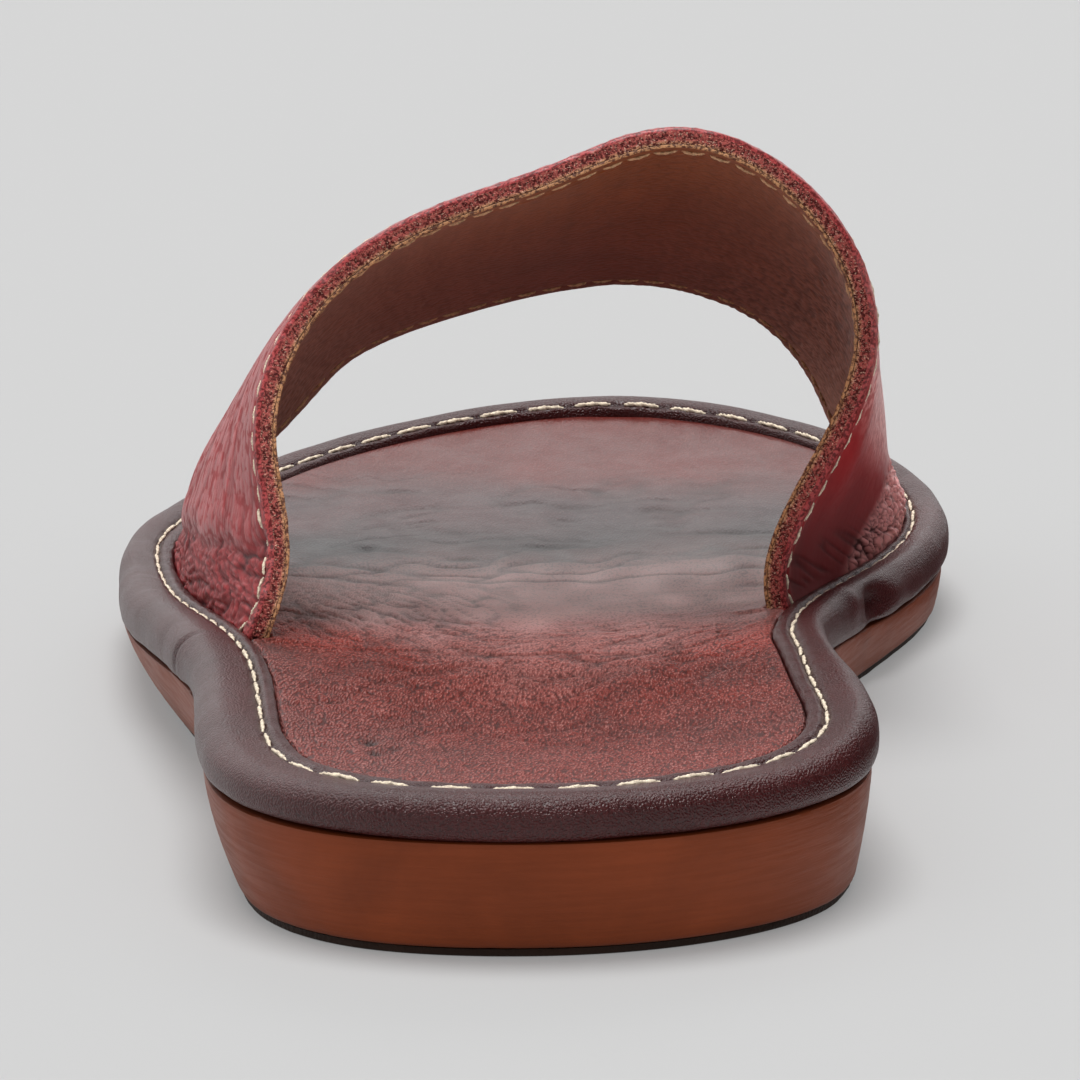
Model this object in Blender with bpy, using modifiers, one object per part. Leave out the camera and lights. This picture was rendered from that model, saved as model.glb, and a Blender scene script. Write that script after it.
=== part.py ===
"""A left slide sandal: outsole, wedge midsole, padded rim, shaped insole and one wide strap over the instep.

The tables are in millimetres and are read on the last's own axes: "along" runs from the back of the heel to
the toe, "lateral" is the half width towards the little toe, "medial" the half width towards the big toe, both
from the heel's centre line, and heights are above the floor. The mesh functions turn them into metres, with
+Y to the toe, +X to the big toe, and the origin on the floor under the middle of the sole's own box.
"""

import math

import bmesh
import bpy
import numpy as np
from mathutils import Vector

MM = 0.001

# ---------------------------------------------------------------- driving dimensions, in millimetres
LENGTH = 280.0  # outside of the rim, heel to toe
HEEL_STACK = 14.0  # floor to the top of the midsole under the heel
FOREFOOT_STACK = 7.0  # the same under the ball
OUTSOLE_THICKNESS = 1.6
TOE_SPRING = 5.0
SPRING_START = 205.0  # the sole is flat on the floor up to here
WEDGE_START, WEDGE_END = 66.0, 186.0  # the midsole thins between these
STRAP_THICKNESS = 2.6
SEAM_GAP = 0.3  # air between neighbouring pieces
EDGE_BEVEL = 0.5

HEEL_BACK_SHIFT = -4.0  # where the outline crosses its own ends, sideways from the heel's centre line
TOE_TIP_SHIFT = -1.0

# Outside of the rim, seen from above.
OUTLINE = (
    # station, along, lateral, medial
    ("heel back", 4.5, 21.5, 16.8),
    ("heel corner", 15.0, 31.8, 29.8),
    ("heel seat", 34.0, 38.2, 38.8),
    ("heel breast", 54.0, 40.8, 39.8),
    ("arch back", 82.0, 44.6, 35.8),
    ("waist", 112.0, 51.8, 32.8),
    ("arch front", 142.0, 58.6, 35.0),
    ("ball back", 172.0, 62.6, 41.2),
    ("ball", 199.0, 63.0, 46.4),
    ("toe root", 225.0, 57.4, 46.2),
    ("toe row", 247.0, 48.3, 40.6),
    ("toe curve", 265.0, 34.0, 29.6),
    ("toe end", 275.5, 18.8, 15.6),
)

# How the rim and the sole's edge change from heel to toe. Insets are measured inwards from the outline.
# The roll reaches in to its stitched valley, the joint is where the rim ends, the foot is the edge of the floor.
EDGES = {
    "lateral": (
        # along, roll inset, joint inset, foot inset
        (0.0, 6.7, 9.8, 4.4),
        (45.0, 7.6, 9.6, 4.4),
        (92.0, 6.9, 8.8, 6.4),
        (145.0, 6.2, 8.4, 5.4),
        (195.0, 4.7, 6.9, 3.0),
        (280.0, 5.2, 7.6, 4.0),
    ),
    "medial": (
        # along, roll inset, joint inset, foot inset
        (0.0, 6.7, 9.8, 4.4),
        (30.0, 5.6, 8.0, 2.6),
        (62.0, 6.6, 8.8, 2.6),
        (96.0, 4.8, 7.2, 3.4),
        (120.0, 4.4, 6.6, 4.0),
        (170.0, 5.0, 6.8, 2.4),
        (215.0, 4.9, 6.2, 1.8),
        (280.0, 5.2, 7.6, 4.0),
    ),
}

# Heights of the rim above the midsole.
RIM_CREST = 6.4
RIM_HEIGHTS = (
    # along, stitched valley, flange
    (0.0, 4.9, 5.2),
    (120.0, 5.0, 5.4),
    (280.0, 5.6, 5.9),
)
RIM_UNDERCUT = 1.3  # the roll overhangs the midsole's edge by this
ROLL_MIDDLE = 3.0  # height of the roll's widest place above the midsole
CREST_SHARE = 0.48  # how far in the roll's crest lies, as a share of the roll's inset
SLOPE_SHARE = 0.76  # the same for the slope down to the valley
INSOLE_EDGE_HEIGHT = 4.5
SLOT_MARGIN, SLOT_RAMP = 3.0, 3.0  # the insole's edge steps in this far before the strap, over this length

# Shallow shapes pressed into the insole's top: depth is positive downwards, spans are half widths of a bell.
INSOLE_HOLLOWS = (
    # name, along, across, depth, span along, span across
    ("heel cup", 50.0, 0.0, 1.9, 26.0, 24.0),
    ("arch rise", 107.0, 6.0, -1.7, 20.0, 34.0),
    ("ball hollow", 186.0, -10.0, 0.8, 26.0, 36.0),
    ("toe ridge", 226.0, -6.0, -0.5, 12.0, 40.0),
)

# The strap's outer face, one row for each edge and one for the middle. Its feet stand on the joint line between
# rim and insole, and every other point is (across, height), with across positive towards the big toe.
STRAP_ROWS = (
    # row, lateral foot along, ridge along, medial foot along,
    #   lateral hem, wall and shoulder,
    #   low slope, high slope, ridge,
    #   medial shoulder, wall and hem
    ("rear edge", 95.0, 128.0, 134.0,
     (-36.0, 26.0), (-38.2, 41.0), (-32.8, 57.0),
     (-18.2, 67.4), (-3.2, 72.7), (12.0, 77.5),
     (31.0, 68.6), (38.0, 50.0), (29.4, 28.0)),
    ("middle", 148.0, 166.0, 185.0,
     (-50.8, 25.0), (-45.8, 37.5), (-38.0, 48.0),
     (-22.0, 57.0), (-6.0, 61.0), (9.0, 64.0),
     (27.5, 57.0), (37.2, 42.0), (38.5, 27.0)),
    ("front edge", 198.0, 209.0, 236.0,
     (-51.5, 21.0), (-44.6, 27.8), (-36.8, 36.0),
     (-25.0, 41.8), (-11.0, 45.7), (3.0, 47.6),
     (19.5, 43.2), (29.6, 32.0), (34.6, 20.0)),
)
# How far each row leans over its feet, inwards for each millimetre of height: lateral, medial.
STRAP_LEANS = ((0.35, 0.3), (0.1, 0.0), (0.6, 0.3))

OUTLINE_STEPS = 60  # points along each side of an outline
STRAP_ACROSS = 40
RIDGE = 5  # the ridge's place among the points of a strap row
STRAP_ALONG = 12
INSOLE_ACROSS = 10


# ---------------------------------------------------------------- curves
def spline_through(points, closed=False, start=None, end=None):
    """A function from 0..1 to the smooth curve through the points, even in chord length."""
    knots = np.array(points, float)
    if closed:
        knots = np.vstack([knots[-3:], knots, knots[:4]])
    step = np.linalg.norm(np.diff(knots, axis=0), axis=1)
    at = np.concatenate([[0.0], np.cumsum(step)])
    count = len(knots)
    system = np.zeros((count, count))
    right = np.zeros(knots.shape)
    for i in range(1, count - 1):
        system[i, i - 1] = step[i - 1]
        system[i, i] = 2 * (step[i - 1] + step[i])
        system[i, i + 1] = step[i]
        right[i] = 6 * ((knots[i + 1] - knots[i]) / step[i] - (knots[i] - knots[i - 1]) / step[i - 1])
    system[0, 0] = system[-1, -1] = 1.0
    if start is not None:
        system[0, :2] = (2 * step[0], step[0])
        right[0] = 6 * ((knots[1] - knots[0]) / step[0] - np.array(start))
    if end is not None:
        system[-1, -2:] = (step[-1], 2 * step[-1])
        right[-1] = 6 * (np.array(end) - (knots[-1] - knots[-2]) / step[-1])
    bend = np.linalg.solve(system, right)
    first, last = (at[3], at[-4]) if closed else (at[0], at[-1])

    def curve(share):
        s = np.clip(first + np.asarray(share, float) * (last - first), first, last)
        i = np.clip(np.searchsorted(at, s, side="right") - 1, 0, count - 2)
        h = step[i][:, None]
        a = ((at[i + 1] - s) / step[i])[:, None]
        b = 1 - a
        smooth = ((a**3 - a) * bend[i] + (b**3 - b) * bend[i + 1]) * h * h / 6
        return a * knots[i] + b * knots[i + 1] + smooth

    return curve


def evenly(curve, count, first=0.0, last=1.0):
    """count points on the curve, evenly spaced along its length, both ends included."""
    share = np.linspace(first, last, 1200)
    fine = curve(share)
    run = np.concatenate([[0.0], np.cumsum(np.linalg.norm(np.diff(fine, axis=0), axis=1))])
    return curve(np.interp(np.linspace(0, run[-1], count), run, share))


def eased(value, low, high):
    """0 below low, 1 above high, and a smooth step between."""
    t = np.clip((value - low) / (high - low), 0.0, 1.0)
    return t * t * (3 - 2 * t)


def smooth_table(table, at, column):
    """The table's column at a place along the foot, with a smooth step from each row to the next."""
    rows = np.array(table)
    place = np.interp(at, rows[:, 0], np.arange(len(rows)))
    row = np.clip(np.floor(place).astype(int), 0, len(rows) - 2)
    return rows[row, column] + (rows[row + 1, column] - rows[row, column]) * eased(place - row, 0.0, 1.0)


def outline_curve():
    lateral = [(-row[2], row[1]) for row in OUTLINE]
    medial = [(row[3], row[1]) for row in reversed(OUTLINE)]
    return spline_through(
        [(HEEL_BACK_SHIFT, 0.0), *lateral, (TOE_TIP_SHIFT, LENGTH), *medial], closed=True
    )


def outline_points():
    """The rim's outside: from the heel's back up the lateral side to the toe, and back down the medial side."""
    curve = outline_curve()
    share = np.linspace(0, 1, 2400)
    toe = share[np.argmax(curve(share)[:, 1])]
    there = evenly(curve, OUTLINE_STEPS + 1, 0.0, toe)
    back = evenly(curve, OUTLINE_STEPS + 1, toe, 1.0)
    return np.vstack([there[:-1], back[:-1]])


OUTSIDE = outline_points()


def inward_normals():
    ahead = np.roll(OUTSIDE, -1, axis=0) - np.roll(OUTSIDE, 1, axis=0)
    ahead /= np.linalg.norm(ahead, axis=1)[:, None]
    return np.column_stack([ahead[:, 1], -ahead[:, 0]])


INWARDS = inward_normals()
ALONG = OUTSIDE[:, 1]
IS_LATERAL = np.arange(len(OUTSIDE)) <= OUTLINE_STEPS
ROLL, JOINT, FOOT = (
    np.where(
        IS_LATERAL,
        smooth_table(EDGES["lateral"], ALONG, column),
        smooth_table(EDGES["medial"], ALONG, column),
    )
    for column in (1, 2, 3)
)


def inset_by(distance):
    """The outline moved inwards, by one distance or by one for each point."""
    return OUTSIDE + INWARDS * np.broadcast_to(distance, ALONG.shape)[:, None]


# ---------------------------------------------------------------- heights
def sole_underside(along):
    past = np.clip((np.asarray(along, float) - SPRING_START) / (LENGTH - SPRING_START), 0.0, 1.1)
    return TOE_SPRING * past**2


def midsole_top(along):
    wedge = eased(np.asarray(along, float), WEDGE_START, WEDGE_END)
    return HEEL_STACK - (HEEL_STACK - FOREFOOT_STACK) * wedge + sole_underside(along)


def rim_height(along, column):
    return smooth_table(RIM_HEIGHTS, along, column)


def insole_top(across, along):
    top = midsole_top(along) + INSOLE_EDGE_HEIGHT
    for _, along_at, across_at, depth, long_span, wide_span in INSOLE_HOLLOWS:
        bell = ((along - along_at) / long_span) ** 2 + ((across - across_at) / wide_span) ** 2
        top = top - depth * np.exp(-bell)
    return top


# ---------------------------------------------------------------- meshes
def origin_of_box():
    return Vector(((OUTSIDE[:, 0].min() + OUTSIDE[:, 0].max()) / 2, (ALONG.min() + ALONG.max()) / 2, 0))


ORIGIN = origin_of_box()


def in_metres(point):
    return (Vector([float(value) for value in point]) - ORIGIN) * MM


def ring_of(plan, heights):
    return np.column_stack([plan, heights])


def add_object(name, bm, material, smooth_angle=40.0):
    bmesh.ops.remove_doubles(bm, verts=bm.verts, dist=1e-6)
    bmesh.ops.recalc_face_normals(bm, faces=bm.faces)
    mesh = bpy.data.meshes.new(name)
    bm.to_mesh(mesh)
    bm.free()
    mesh.shade_smooth()
    mesh.set_sharp_from_angle(angle=math.radians(smooth_angle))
    mesh.materials.append(material)
    made = bpy.data.objects.new(name, mesh)
    SANDAL.objects.link(made)
    return made


def loft(bm, rings, join_last=False):
    """Quads between neighbouring closed rings of points. Returns the rows of vertices."""
    rows = [[bm.verts.new(in_metres(point)) for point in ring] for ring in rings]
    pairs = list(zip(rows[:-1], rows[1:]))
    if join_last:
        pairs.append((rows[-1], rows[0]))
    for low, high in pairs:
        for k in range(len(low)):
            after = (k + 1) % len(low)
            bm.faces.new((low[k], low[after], high[after], high[k]))
    return rows


def cap(bm, ring):
    """Closes a ring with rungs from the lateral side to the medial side, so that it bends only along the foot."""
    half = len(ring) // 2
    for k in range(half):
        corners = [ring[k], ring[k + 1], ring[(-k - 1) % len(ring)], ring[-k % len(ring)]]
        bm.faces.new(list(dict.fromkeys(corners)))


def slab(name, material, layers):
    """A closed solid through rings of (inset, height above the floor), lowest first."""
    bm = bmesh.new()
    rows = loft(bm, [ring_of(inset_by(inset), height) for inset, height in layers])
    cap(bm, rows[0])
    cap(bm, rows[-1])
    return add_object(name, bm, material)


# ---------------------------------------------------------------- the sole
def make_outsole(material):
    low = sole_underside(ALONG)
    return slab("outsole", material, [
        (FOOT + 2 * EDGE_BEVEL, low),
        (FOOT + EDGE_BEVEL, low + EDGE_BEVEL),
        (FOOT + EDGE_BEVEL, low + OUTSOLE_THICKNESS),
    ])


def make_midsole(material):
    low = sole_underside(ALONG) + OUTSOLE_THICKNESS + SEAM_GAP
    high = midsole_top(ALONG)
    # The wall is slightly hollow: at half its height it has come in by a third of the way to the floor's inset.
    hollow = RIM_UNDERCUT + (FOOT - RIM_UNDERCUT) / 3
    return slab("midsole", material, [
        (FOOT + EDGE_BEVEL, low),
        (FOOT, low + EDGE_BEVEL),
        (hollow, (low + high) / 2),
        (RIM_UNDERCUT, high - EDGE_BEVEL),
        (RIM_UNDERCUT + EDGE_BEVEL, high),
    ])


# ---------------------------------------------------------------- the rim
def rim_profile():
    """(share of the roll's width, share of the flange's width, height) round the rim's section, outside first."""
    valley, flange = rim_height(ALONG, 1), rim_height(ALONG, 2)
    section = []
    for degrees in (-68, -34, 0, 32, 62, 92):
        angle = math.radians(degrees)
        lift = (RIM_CREST - ROLL_MIDDLE) if degrees > 0 else (ROLL_MIDDLE - SEAM_GAP)
        share = CREST_SHARE * (1 - math.cos(angle))
        section.append((share, 0.0, ROLL_MIDDLE + lift * math.sin(angle)))
    section += [(SLOPE_SHARE, 0.0, 0.6 * RIM_CREST + 0.4 * valley), (1.0, 0.0, valley)]
    section += [(1.0, 0.45, flange), (1.0, 0.85, flange)]
    section += [(1.0, 1.0, flange - EDGE_BEVEL), (1.0, 1.0, SEAM_GAP)]
    return section


def make_rim(material):
    base = midsole_top(ALONG)
    rings = []
    for width_share, flange_share, height in rim_profile():
        inset = width_share * ROLL + flange_share * (JOINT - ROLL)
        rings.append(ring_of(inset_by(inset), base + height))
    bm = bmesh.new()
    loft(bm, rings, join_last=True)
    return add_object("rim", bm, material)


# ---------------------------------------------------------------- the insole
def strap_slot(side):
    """How much further in the insole's edge lies where a foot of the strap stands beside it."""
    column = 1 if side == "lateral" else 3
    rear, front = STRAP_ROWS[0][column], STRAP_ROWS[-1][column]
    joint_along = inset_by(JOINT)[:, 1]
    into = eased(joint_along, rear - SLOT_MARGIN - SLOT_RAMP, rear - SLOT_MARGIN)
    out_of = eased(joint_along, front + SLOT_MARGIN, front + SLOT_MARGIN + SLOT_RAMP)
    return into * (1 - out_of) * (STRAP_THICKNESS + 2 * SEAM_GAP)


def insole_inset():
    return JOINT + SEAM_GAP + np.where(IS_LATERAL, strap_slot("lateral"), strap_slot("medial"))


def make_insole(material):
    edge = inset_by(insole_inset())
    low_edge = ring_of(edge, midsole_top(ALONG) + SEAM_GAP)
    high_edge = ring_of(edge, midsole_top(ALONG) + INSOLE_EDGE_HEIGHT)
    bm = bmesh.new()
    rows = loft(bm, [low_edge, high_edge])
    cap(bm, rows[0])
    ring = rows[-1]
    count = len(ring)
    bridges = []
    for k in range(1, OUTLINE_STEPS):
        left, right = edge[k], edge[-k]
        bridge = [ring[k]]
        for share in np.linspace(0, 1, INSOLE_ACROSS + 1)[1:-1]:
            across, along = left + (right - left) * share
            # The pressed shape fades out towards the edge, where the insole meets the rim.
            fade = 1 - (2 * share - 1) ** 4
            flat = float(midsole_top(along)) + INSOLE_EDGE_HEIGHT
            height = flat + fade * (float(insole_top(across, along)) - flat)
            bridge.append(bm.verts.new(in_metres((across, along, height))))
        bridge.append(ring[count - k])
        bridges.append(bridge)
    for low, high in zip(bridges[:-1], bridges[1:]):
        for a, b, c, d in zip(low[:-1], low[1:], high[1:], high[:-1]):
            bm.faces.new((a, b, c, d))
    for end, bridge in ((ring[0], bridges[0]), (ring[OUTLINE_STEPS], bridges[-1])):
        for a, b in zip(bridge[:-1], bridge[1:]):
            bm.faces.new((a, b, end))
    return add_object("insole", bm, material)


# ---------------------------------------------------------------- the strap
def joint_point(side, along):
    """Where the strap's outer face passes between rim and insole, as (across, along)."""
    line = inset_by(JOINT + SEAM_GAP)
    half = line[: OUTLINE_STEPS + 1] if side == "lateral" else line[OUTLINE_STEPS:][::-1]
    return np.array([np.interp(along, half[:, 1], half[:, 0]), along])


def between_rows(values, share):
    """The smooth curve through the three rows' values, at a share of the way from rear to front."""
    rear, middle, front = (np.array(value, float) for value in values)
    bulge = 4 * (middle - (rear + front) / 2)
    return rear + (front - rear) * share + bulge * share * (1 - share)


def strap_section(share):
    """One line of the strap's outer face, from the lateral slot over the instep to the medial slot."""
    lateral_along, ridge_along, medial_along = (
        between_rows([row[column] for row in STRAP_ROWS], share) for column in (1, 2, 3)
    )
    upper = [between_rows([row[column] for row in STRAP_ROWS], share) for column in range(4, 13)]
    feet = []
    for side, along in (("lateral", lateral_along), ("medial", medial_along)):
        feet.append((*joint_point(side, along), midsole_top(along) + rim_height(along, 2)))
    ridge = upper[RIDGE]
    knots = [feet[0]]
    for k, (across, height) in enumerate(upper):
        foot = feet[0] if k <= RIDGE else feet[1]
        # Both edges lean evenly from their foot to the ridge.
        climbed = (height - foot[2]) / (ridge[1] - foot[2])
        knots.append((across, foot[1] + (ridge_along - foot[1]) * climbed, height))
    knots.append(feet[1])
    leans = [between_rows([row[side] for row in STRAP_LEANS], share) for side in (0, 1)]
    arch = evenly(
        spline_through(knots, start=(leans[0], 0, 1), end=(leans[1], 0, -1)), STRAP_ACROSS + 1
    )
    lateral_leg, medial_leg = (
        [foot - np.array((0, 0, (rim_height(foot[1], 2) - SEAM_GAP) * depth)) for depth in (1.0, 0.5)]
        for foot in (arch[0], arch[-1])
    )
    return np.vstack([lateral_leg, arch, medial_leg[::-1]])


def make_strap(material):
    bm = bmesh.new()
    rows = [
        [bm.verts.new(in_metres(point)) for point in strap_section(share)]
        for share in np.linspace(0, 1, STRAP_ALONG + 1)
    ]
    for rear, front in zip(rows[:-1], rows[1:]):
        for a, b, c, d in zip(rear[:-1], rear[1:], front[1:], front[:-1]):
            bm.faces.new((a, b, c, d))
    strap = add_object("strap", bm, material)
    wall = strap.modifiers.new("wall", "SOLIDIFY")
    wall.thickness = STRAP_THICKNESS * MM
    wall.offset = -1.0 if strap_faces_out(strap) else 1.0
    wall.use_even_offset = True
    return strap


def strap_faces_out(strap):
    """Whether the face nearest the ridge points up, away from the foot."""
    highest = max(strap.data.polygons, key=lambda face: face.center.z)
    return highest.normal.z > 0


# ---------------------------------------------------------------- materials
def finish(name, colour, roughness):
    material = bpy.data.materials.new(name)
    material.use_nodes = True
    shader = material.node_tree.nodes["Principled BSDF"]
    shader.inputs["Base Color"].default_value = (*colour, 1.0)
    shader.inputs["Roughness"].default_value = roughness
    shader.inputs["Metallic"].default_value = 0.0
    return material


for leftover in list(bpy.data.objects):
    bpy.data.objects.remove(leftover, do_unlink=True)

SANDAL = bpy.data.collections.new("slide_sandal")
bpy.context.scene.collection.children.link(SANDAL)

make_outsole(finish("dark_rubber", (0.02, 0.014, 0.014), 0.6))
make_midsole(finish("burnished_edge", (0.27, 0.075, 0.03), 0.4))
make_rim(finish("dark_rolled_leather", (0.052, 0.027, 0.026), 0.42))
make_insole(finish("red_brown_insole", (0.19, 0.045, 0.035), 0.4))
make_strap(finish("red_strap_leather", (0.27, 0.03, 0.035), 0.45))
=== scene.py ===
import math
from collections import namedtuple

import bmesh
import bpy
import numpy as np
from bpy.props import FloatProperty, FloatVectorProperty, PointerProperty
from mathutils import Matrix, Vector


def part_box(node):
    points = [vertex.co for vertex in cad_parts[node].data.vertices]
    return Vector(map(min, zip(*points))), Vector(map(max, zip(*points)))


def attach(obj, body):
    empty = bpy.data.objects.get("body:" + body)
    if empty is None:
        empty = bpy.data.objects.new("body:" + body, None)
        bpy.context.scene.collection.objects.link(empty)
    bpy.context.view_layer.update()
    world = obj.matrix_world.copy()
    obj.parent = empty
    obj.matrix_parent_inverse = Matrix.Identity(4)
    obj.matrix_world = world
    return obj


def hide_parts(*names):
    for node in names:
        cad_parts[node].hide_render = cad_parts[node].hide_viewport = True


bl_info = {
    "name": "Leather slide sandal",
    "version": (1, 0, 0),
    "blender": (4, 5, 0),
    "location": "3D View > Sidebar > Sandal",
    "description": "Builds the finished surface of a left leather slide sandal round its packed solids",
    "category": "Object",
}

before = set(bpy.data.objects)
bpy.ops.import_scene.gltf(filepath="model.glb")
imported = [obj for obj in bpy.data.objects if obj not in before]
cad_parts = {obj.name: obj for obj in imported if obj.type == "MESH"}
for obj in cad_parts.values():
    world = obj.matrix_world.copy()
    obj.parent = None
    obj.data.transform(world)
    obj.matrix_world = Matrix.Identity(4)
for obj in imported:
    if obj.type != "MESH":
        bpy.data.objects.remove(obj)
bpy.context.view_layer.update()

MM = 0.001

# ---------------------------------------------------------------- the last, in millimetres
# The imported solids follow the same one. Along runs from the back of the heel to the toe, and across is
# positive towards the big toe.
LENGTH = 280.0
HEEL_STACK = 14.0
FOREFOOT_STACK = 7.0
TOE_SPRING = 5.0
SPRING_START = 205.0
WEDGE_START, WEDGE_END = 66.0, 186.0
OUTSOLE_THICKNESS = 0.95
SEAM_GAP = 0.12
HEEL_BACK_SHIFT = -4.0
TOE_TIP_SHIFT = -1.0

OUTLINE = (
    # along, lateral half width, medial half width
    (4.5, 21.5, 16.8),
    (15.0, 31.8, 29.8),
    (34.0, 38.2, 38.8),
    (54.0, 40.8, 39.8),
    (82.0, 44.6, 35.8),
    (112.0, 51.8, 32.8),
    (142.0, 58.6, 35.0),
    (172.0, 62.6, 41.2),
    (199.0, 63.0, 46.4),
    (225.0, 57.4, 46.2),
    (247.0, 48.3, 40.6),
    (265.0, 34.0, 29.6),
    (275.5, 18.8, 15.6),
)

EDGES = {
    "lateral": (
        # along, roll inset, joint inset, foot inset
        (0.0, 6.7, 9.8, 4.4),
        (45.0, 7.6, 9.6, 4.4),
        (92.0, 6.9, 8.8, 6.4),
        (145.0, 6.2, 8.4, 5.4),
        (195.0, 4.7, 6.9, 3.0),
        (280.0, 5.2, 6.1, 4.0),
    ),
    "medial": (
        # along, roll inset, joint inset, foot inset
        (0.0, 6.7, 9.8, 4.4),
        (30.0, 5.6, 8.0, 2.6),
        (62.0, 6.6, 8.8, 2.6),
        (96.0, 4.8, 7.2, 3.4),
        (120.0, 4.4, 6.6, 4.0),
        (170.0, 5.0, 6.8, 2.4),
        (215.0, 4.9, 6.2, 1.8),
        (280.0, 5.2, 6.1, 4.0),
    ),
}

RIM_HEIGHTS = (
    # along, crest, stitched valley, flange
    (0.0, 5.3, 4.9, 5.0),
    (14.0, 5.4, 5.0, 5.1),
    (45.0, 6.3, 5.6, 5.9),
    (120.0, 6.4, 5.45, 5.75),
    (215.0, 6.4, 5.5, 5.5),
    (280.0, 6.2, 5.4, 5.1),
)
RIM_UNDERCUT = 0.8
MIDSOLE_BEVEL = 0.4
ROLL_MIDDLE = 3.0
ROLL_START, ROLL_END = -75, 90  # degrees round the roll, from its underside to its crest
CREST_SHARE = 0.48
ROLL_SQUARENESS = 0.6
RIM_THREAD_LIFT = 0.28
INSOLE_EDGE_HEIGHT = 4.7
INSOLE_EDGE_TURN = 0.7
LONG_DRAWN = 0.24  # the insole's wrinkles are drawn out along the foot by one over this
SLOT_MARGIN, SLOT_RAMP = 0.2, 1.6

INSOLE_HOLLOWS = (
    # name, along, across, depth, span along, span across
    ("heel cup", 50.0, 0.0, 1.9, 26.0, 24.0),
    ("ball hollow", 186.0, -10.0, 0.6, 26.0, 36.0),
    ("toe ridge", 226.0, -6.0, -0.5, 12.0, 40.0),
)

STRAP_ROWS = (
    # row, lateral foot along, ridge along, medial foot along,
    #   lateral hem, wall and shoulder,
    #   low slope, high slope, ridge,
    #   medial shoulder, wall and hem, each as (across, height)
    ("rear edge", 95.0, 128.0, 134.0,
     (-36.0, 26.0), (-38.2, 41.0), (-32.8, 57.0),
     (-18.2, 67.4), (-3.2, 72.7), (12.0, 77.5),
     (31.0, 68.6), (38.0, 50.0), (29.4, 28.0)),
    ("middle", 148.0, 166.0, 185.0,
     (-50.8, 25.0), (-45.8, 37.5), (-38.0, 48.0),
     (-22.0, 57.0), (-6.0, 61.0), (9.0, 64.0),
     (27.5, 57.0), (37.2, 42.0), (38.5, 27.0)),
    ("front edge", 198.0, 209.0, 236.0,
     (-51.5, 21.0), (-44.6, 27.8), (-36.8, 36.0),
     (-25.0, 41.8), (-11.0, 45.7), (3.0, 47.6),
     (19.5, 43.2), (29.6, 32.0), (34.6, 20.0)),
)
# How far the strap leans across at its lateral and its medial foot, for each row.
STRAP_LEANS = ((0.35, 0.3), (0.1, 0.0), (0.6, 0.3))
RIDGE = 5  # its place among a row's nine pairs
LEG_STEPS = (1.0, 0.66, 0.33)  # shares of the way down into the slot
STRAP_WALL = 2.6
STRAP_EDGE_TURN = 0.55
RAW_EDGE_START, RAW_EDGE_END = 0.62, 0.05  # below the grain face, and above the flesh side
GLUE_LINE = 0.08  # between the outer leather and the lining
LINING_PROUD = 0.03  # past the outer leather's cut edge

# ---------------------------------------------------------------- how finely the surfaces are laid out
OUTLINE_STEPS = 600  # along each side of the sole
STRAP_LINES = 200  # across the strap's width, from its rear edge to its front edge
STRAP_ROUND = 380  # round the instep, from the lateral slot to the medial slot
HIDDEN_LINES = 14  # across a face that another leather covers
RAW_EDGE_LINES = 9  # down each cut edge
LINING_LINES = 90  # across the lining's own face, evenly spaced
LINING_EDGE_LINES = (1, 2, 3, 5, 7, 9)  # further lines of the lining, counted from either edge
INSOLE_ACROSS = 130  # along each rung
ROLL_RINGS, FALL_RINGS, FLANGE_RINGS = 30, 13, 9  # of the rim, up to its crest, its seam and its edge
VALLEY_RING = ROLL_RINGS + FALL_RINGS - 1
FLANGE_RING = VALLEY_RING + FLANGE_RINGS
THREAD_STEPS, THREAD_SIDES = 8, 6  # along and round one stitch
THREAD_TWIST = 9.0  # radians along one stitch
SLAB_CORNER = 55.0  # degrees past which an edge of the sole stays sharp
# Points that a curve is measured at.
OUTLINE_SAMPLES, CURVE_SAMPLES, BUNCHING_SAMPLES = 2400, 3000, 2001


# ---------------------------------------------------------------- sizes and colours
def size(name, description, default, low=0.0, high=0.05):
    """A length in metres."""
    return FloatProperty(
        name=name, description=description, default=default, min=low, max=high,
        subtype="DISTANCE", unit="LENGTH", precision=5,
    )


def colour(name, description, default):
    return FloatVectorProperty(
        name=name, description=description, default=default, size=3, min=0.0, max=1.0, subtype="COLOR"
    )


class SandalSizes(bpy.types.PropertyGroup):
    upper_thickness: size("Upper leather", "Thickness of the strap's outer leather", 0.0021)
    lining_thickness: size("Lining", "Thickness of the strap's lining leather", 0.00042)
    strap_stitch_inset: size("Strap seam inset", "From the strap's edge to its seam", 0.0029)
    strap_stitch_pitch: size("Strap stitch pitch", "From one strap stitch to the next", 0.0034, 0.001)
    strap_stitch_length: size("Strap stitch length", "Thread showing in each strap stitch", 0.0028)
    strap_thread: size("Strap thread", "Thickness of the strap's thread", 0.00048)
    rim_stitch_pitch: size("Rim stitch pitch", "From one rim stitch to the next", 0.0073, 0.001)
    rim_stitch_length: size("Rim stitch length", "Thread showing in each rim stitch", 0.0056)
    rim_thread: size("Rim thread", "Thickness of the rim's thread", 0.00076)


class SandalColours(bpy.types.PropertyGroup):
    strap_red: colour("Strap", "Aniline red of the strap", (0.42, 0.016, 0.02))
    lining_tan: colour("Lining", "Vegetable tan of the lining", (0.4, 0.115, 0.032))
    rim_brown: colour("Rim", "Dark brown of the rolled rim", (0.054, 0.0065, 0.007))
    insole_red: colour("Insole", "Red-brown of the polished insole", (0.22, 0.024, 0.015))
    midsole_tan: colour("Midsole", "Burnished orange-brown of the midsole's edge", (0.24, 0.047, 0.012))
    rubber: colour("Outsole", "Dark rubber of the outsole", (0.016, 0.007, 0.004))
    thread: colour("Thread", "Waxed cream thread", (0.95, 0.78, 0.6))
    lining_thread: colour("Lining thread", "The thread's lower run, stained by the foot", (0.8, 0.5, 0.28))


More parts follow.
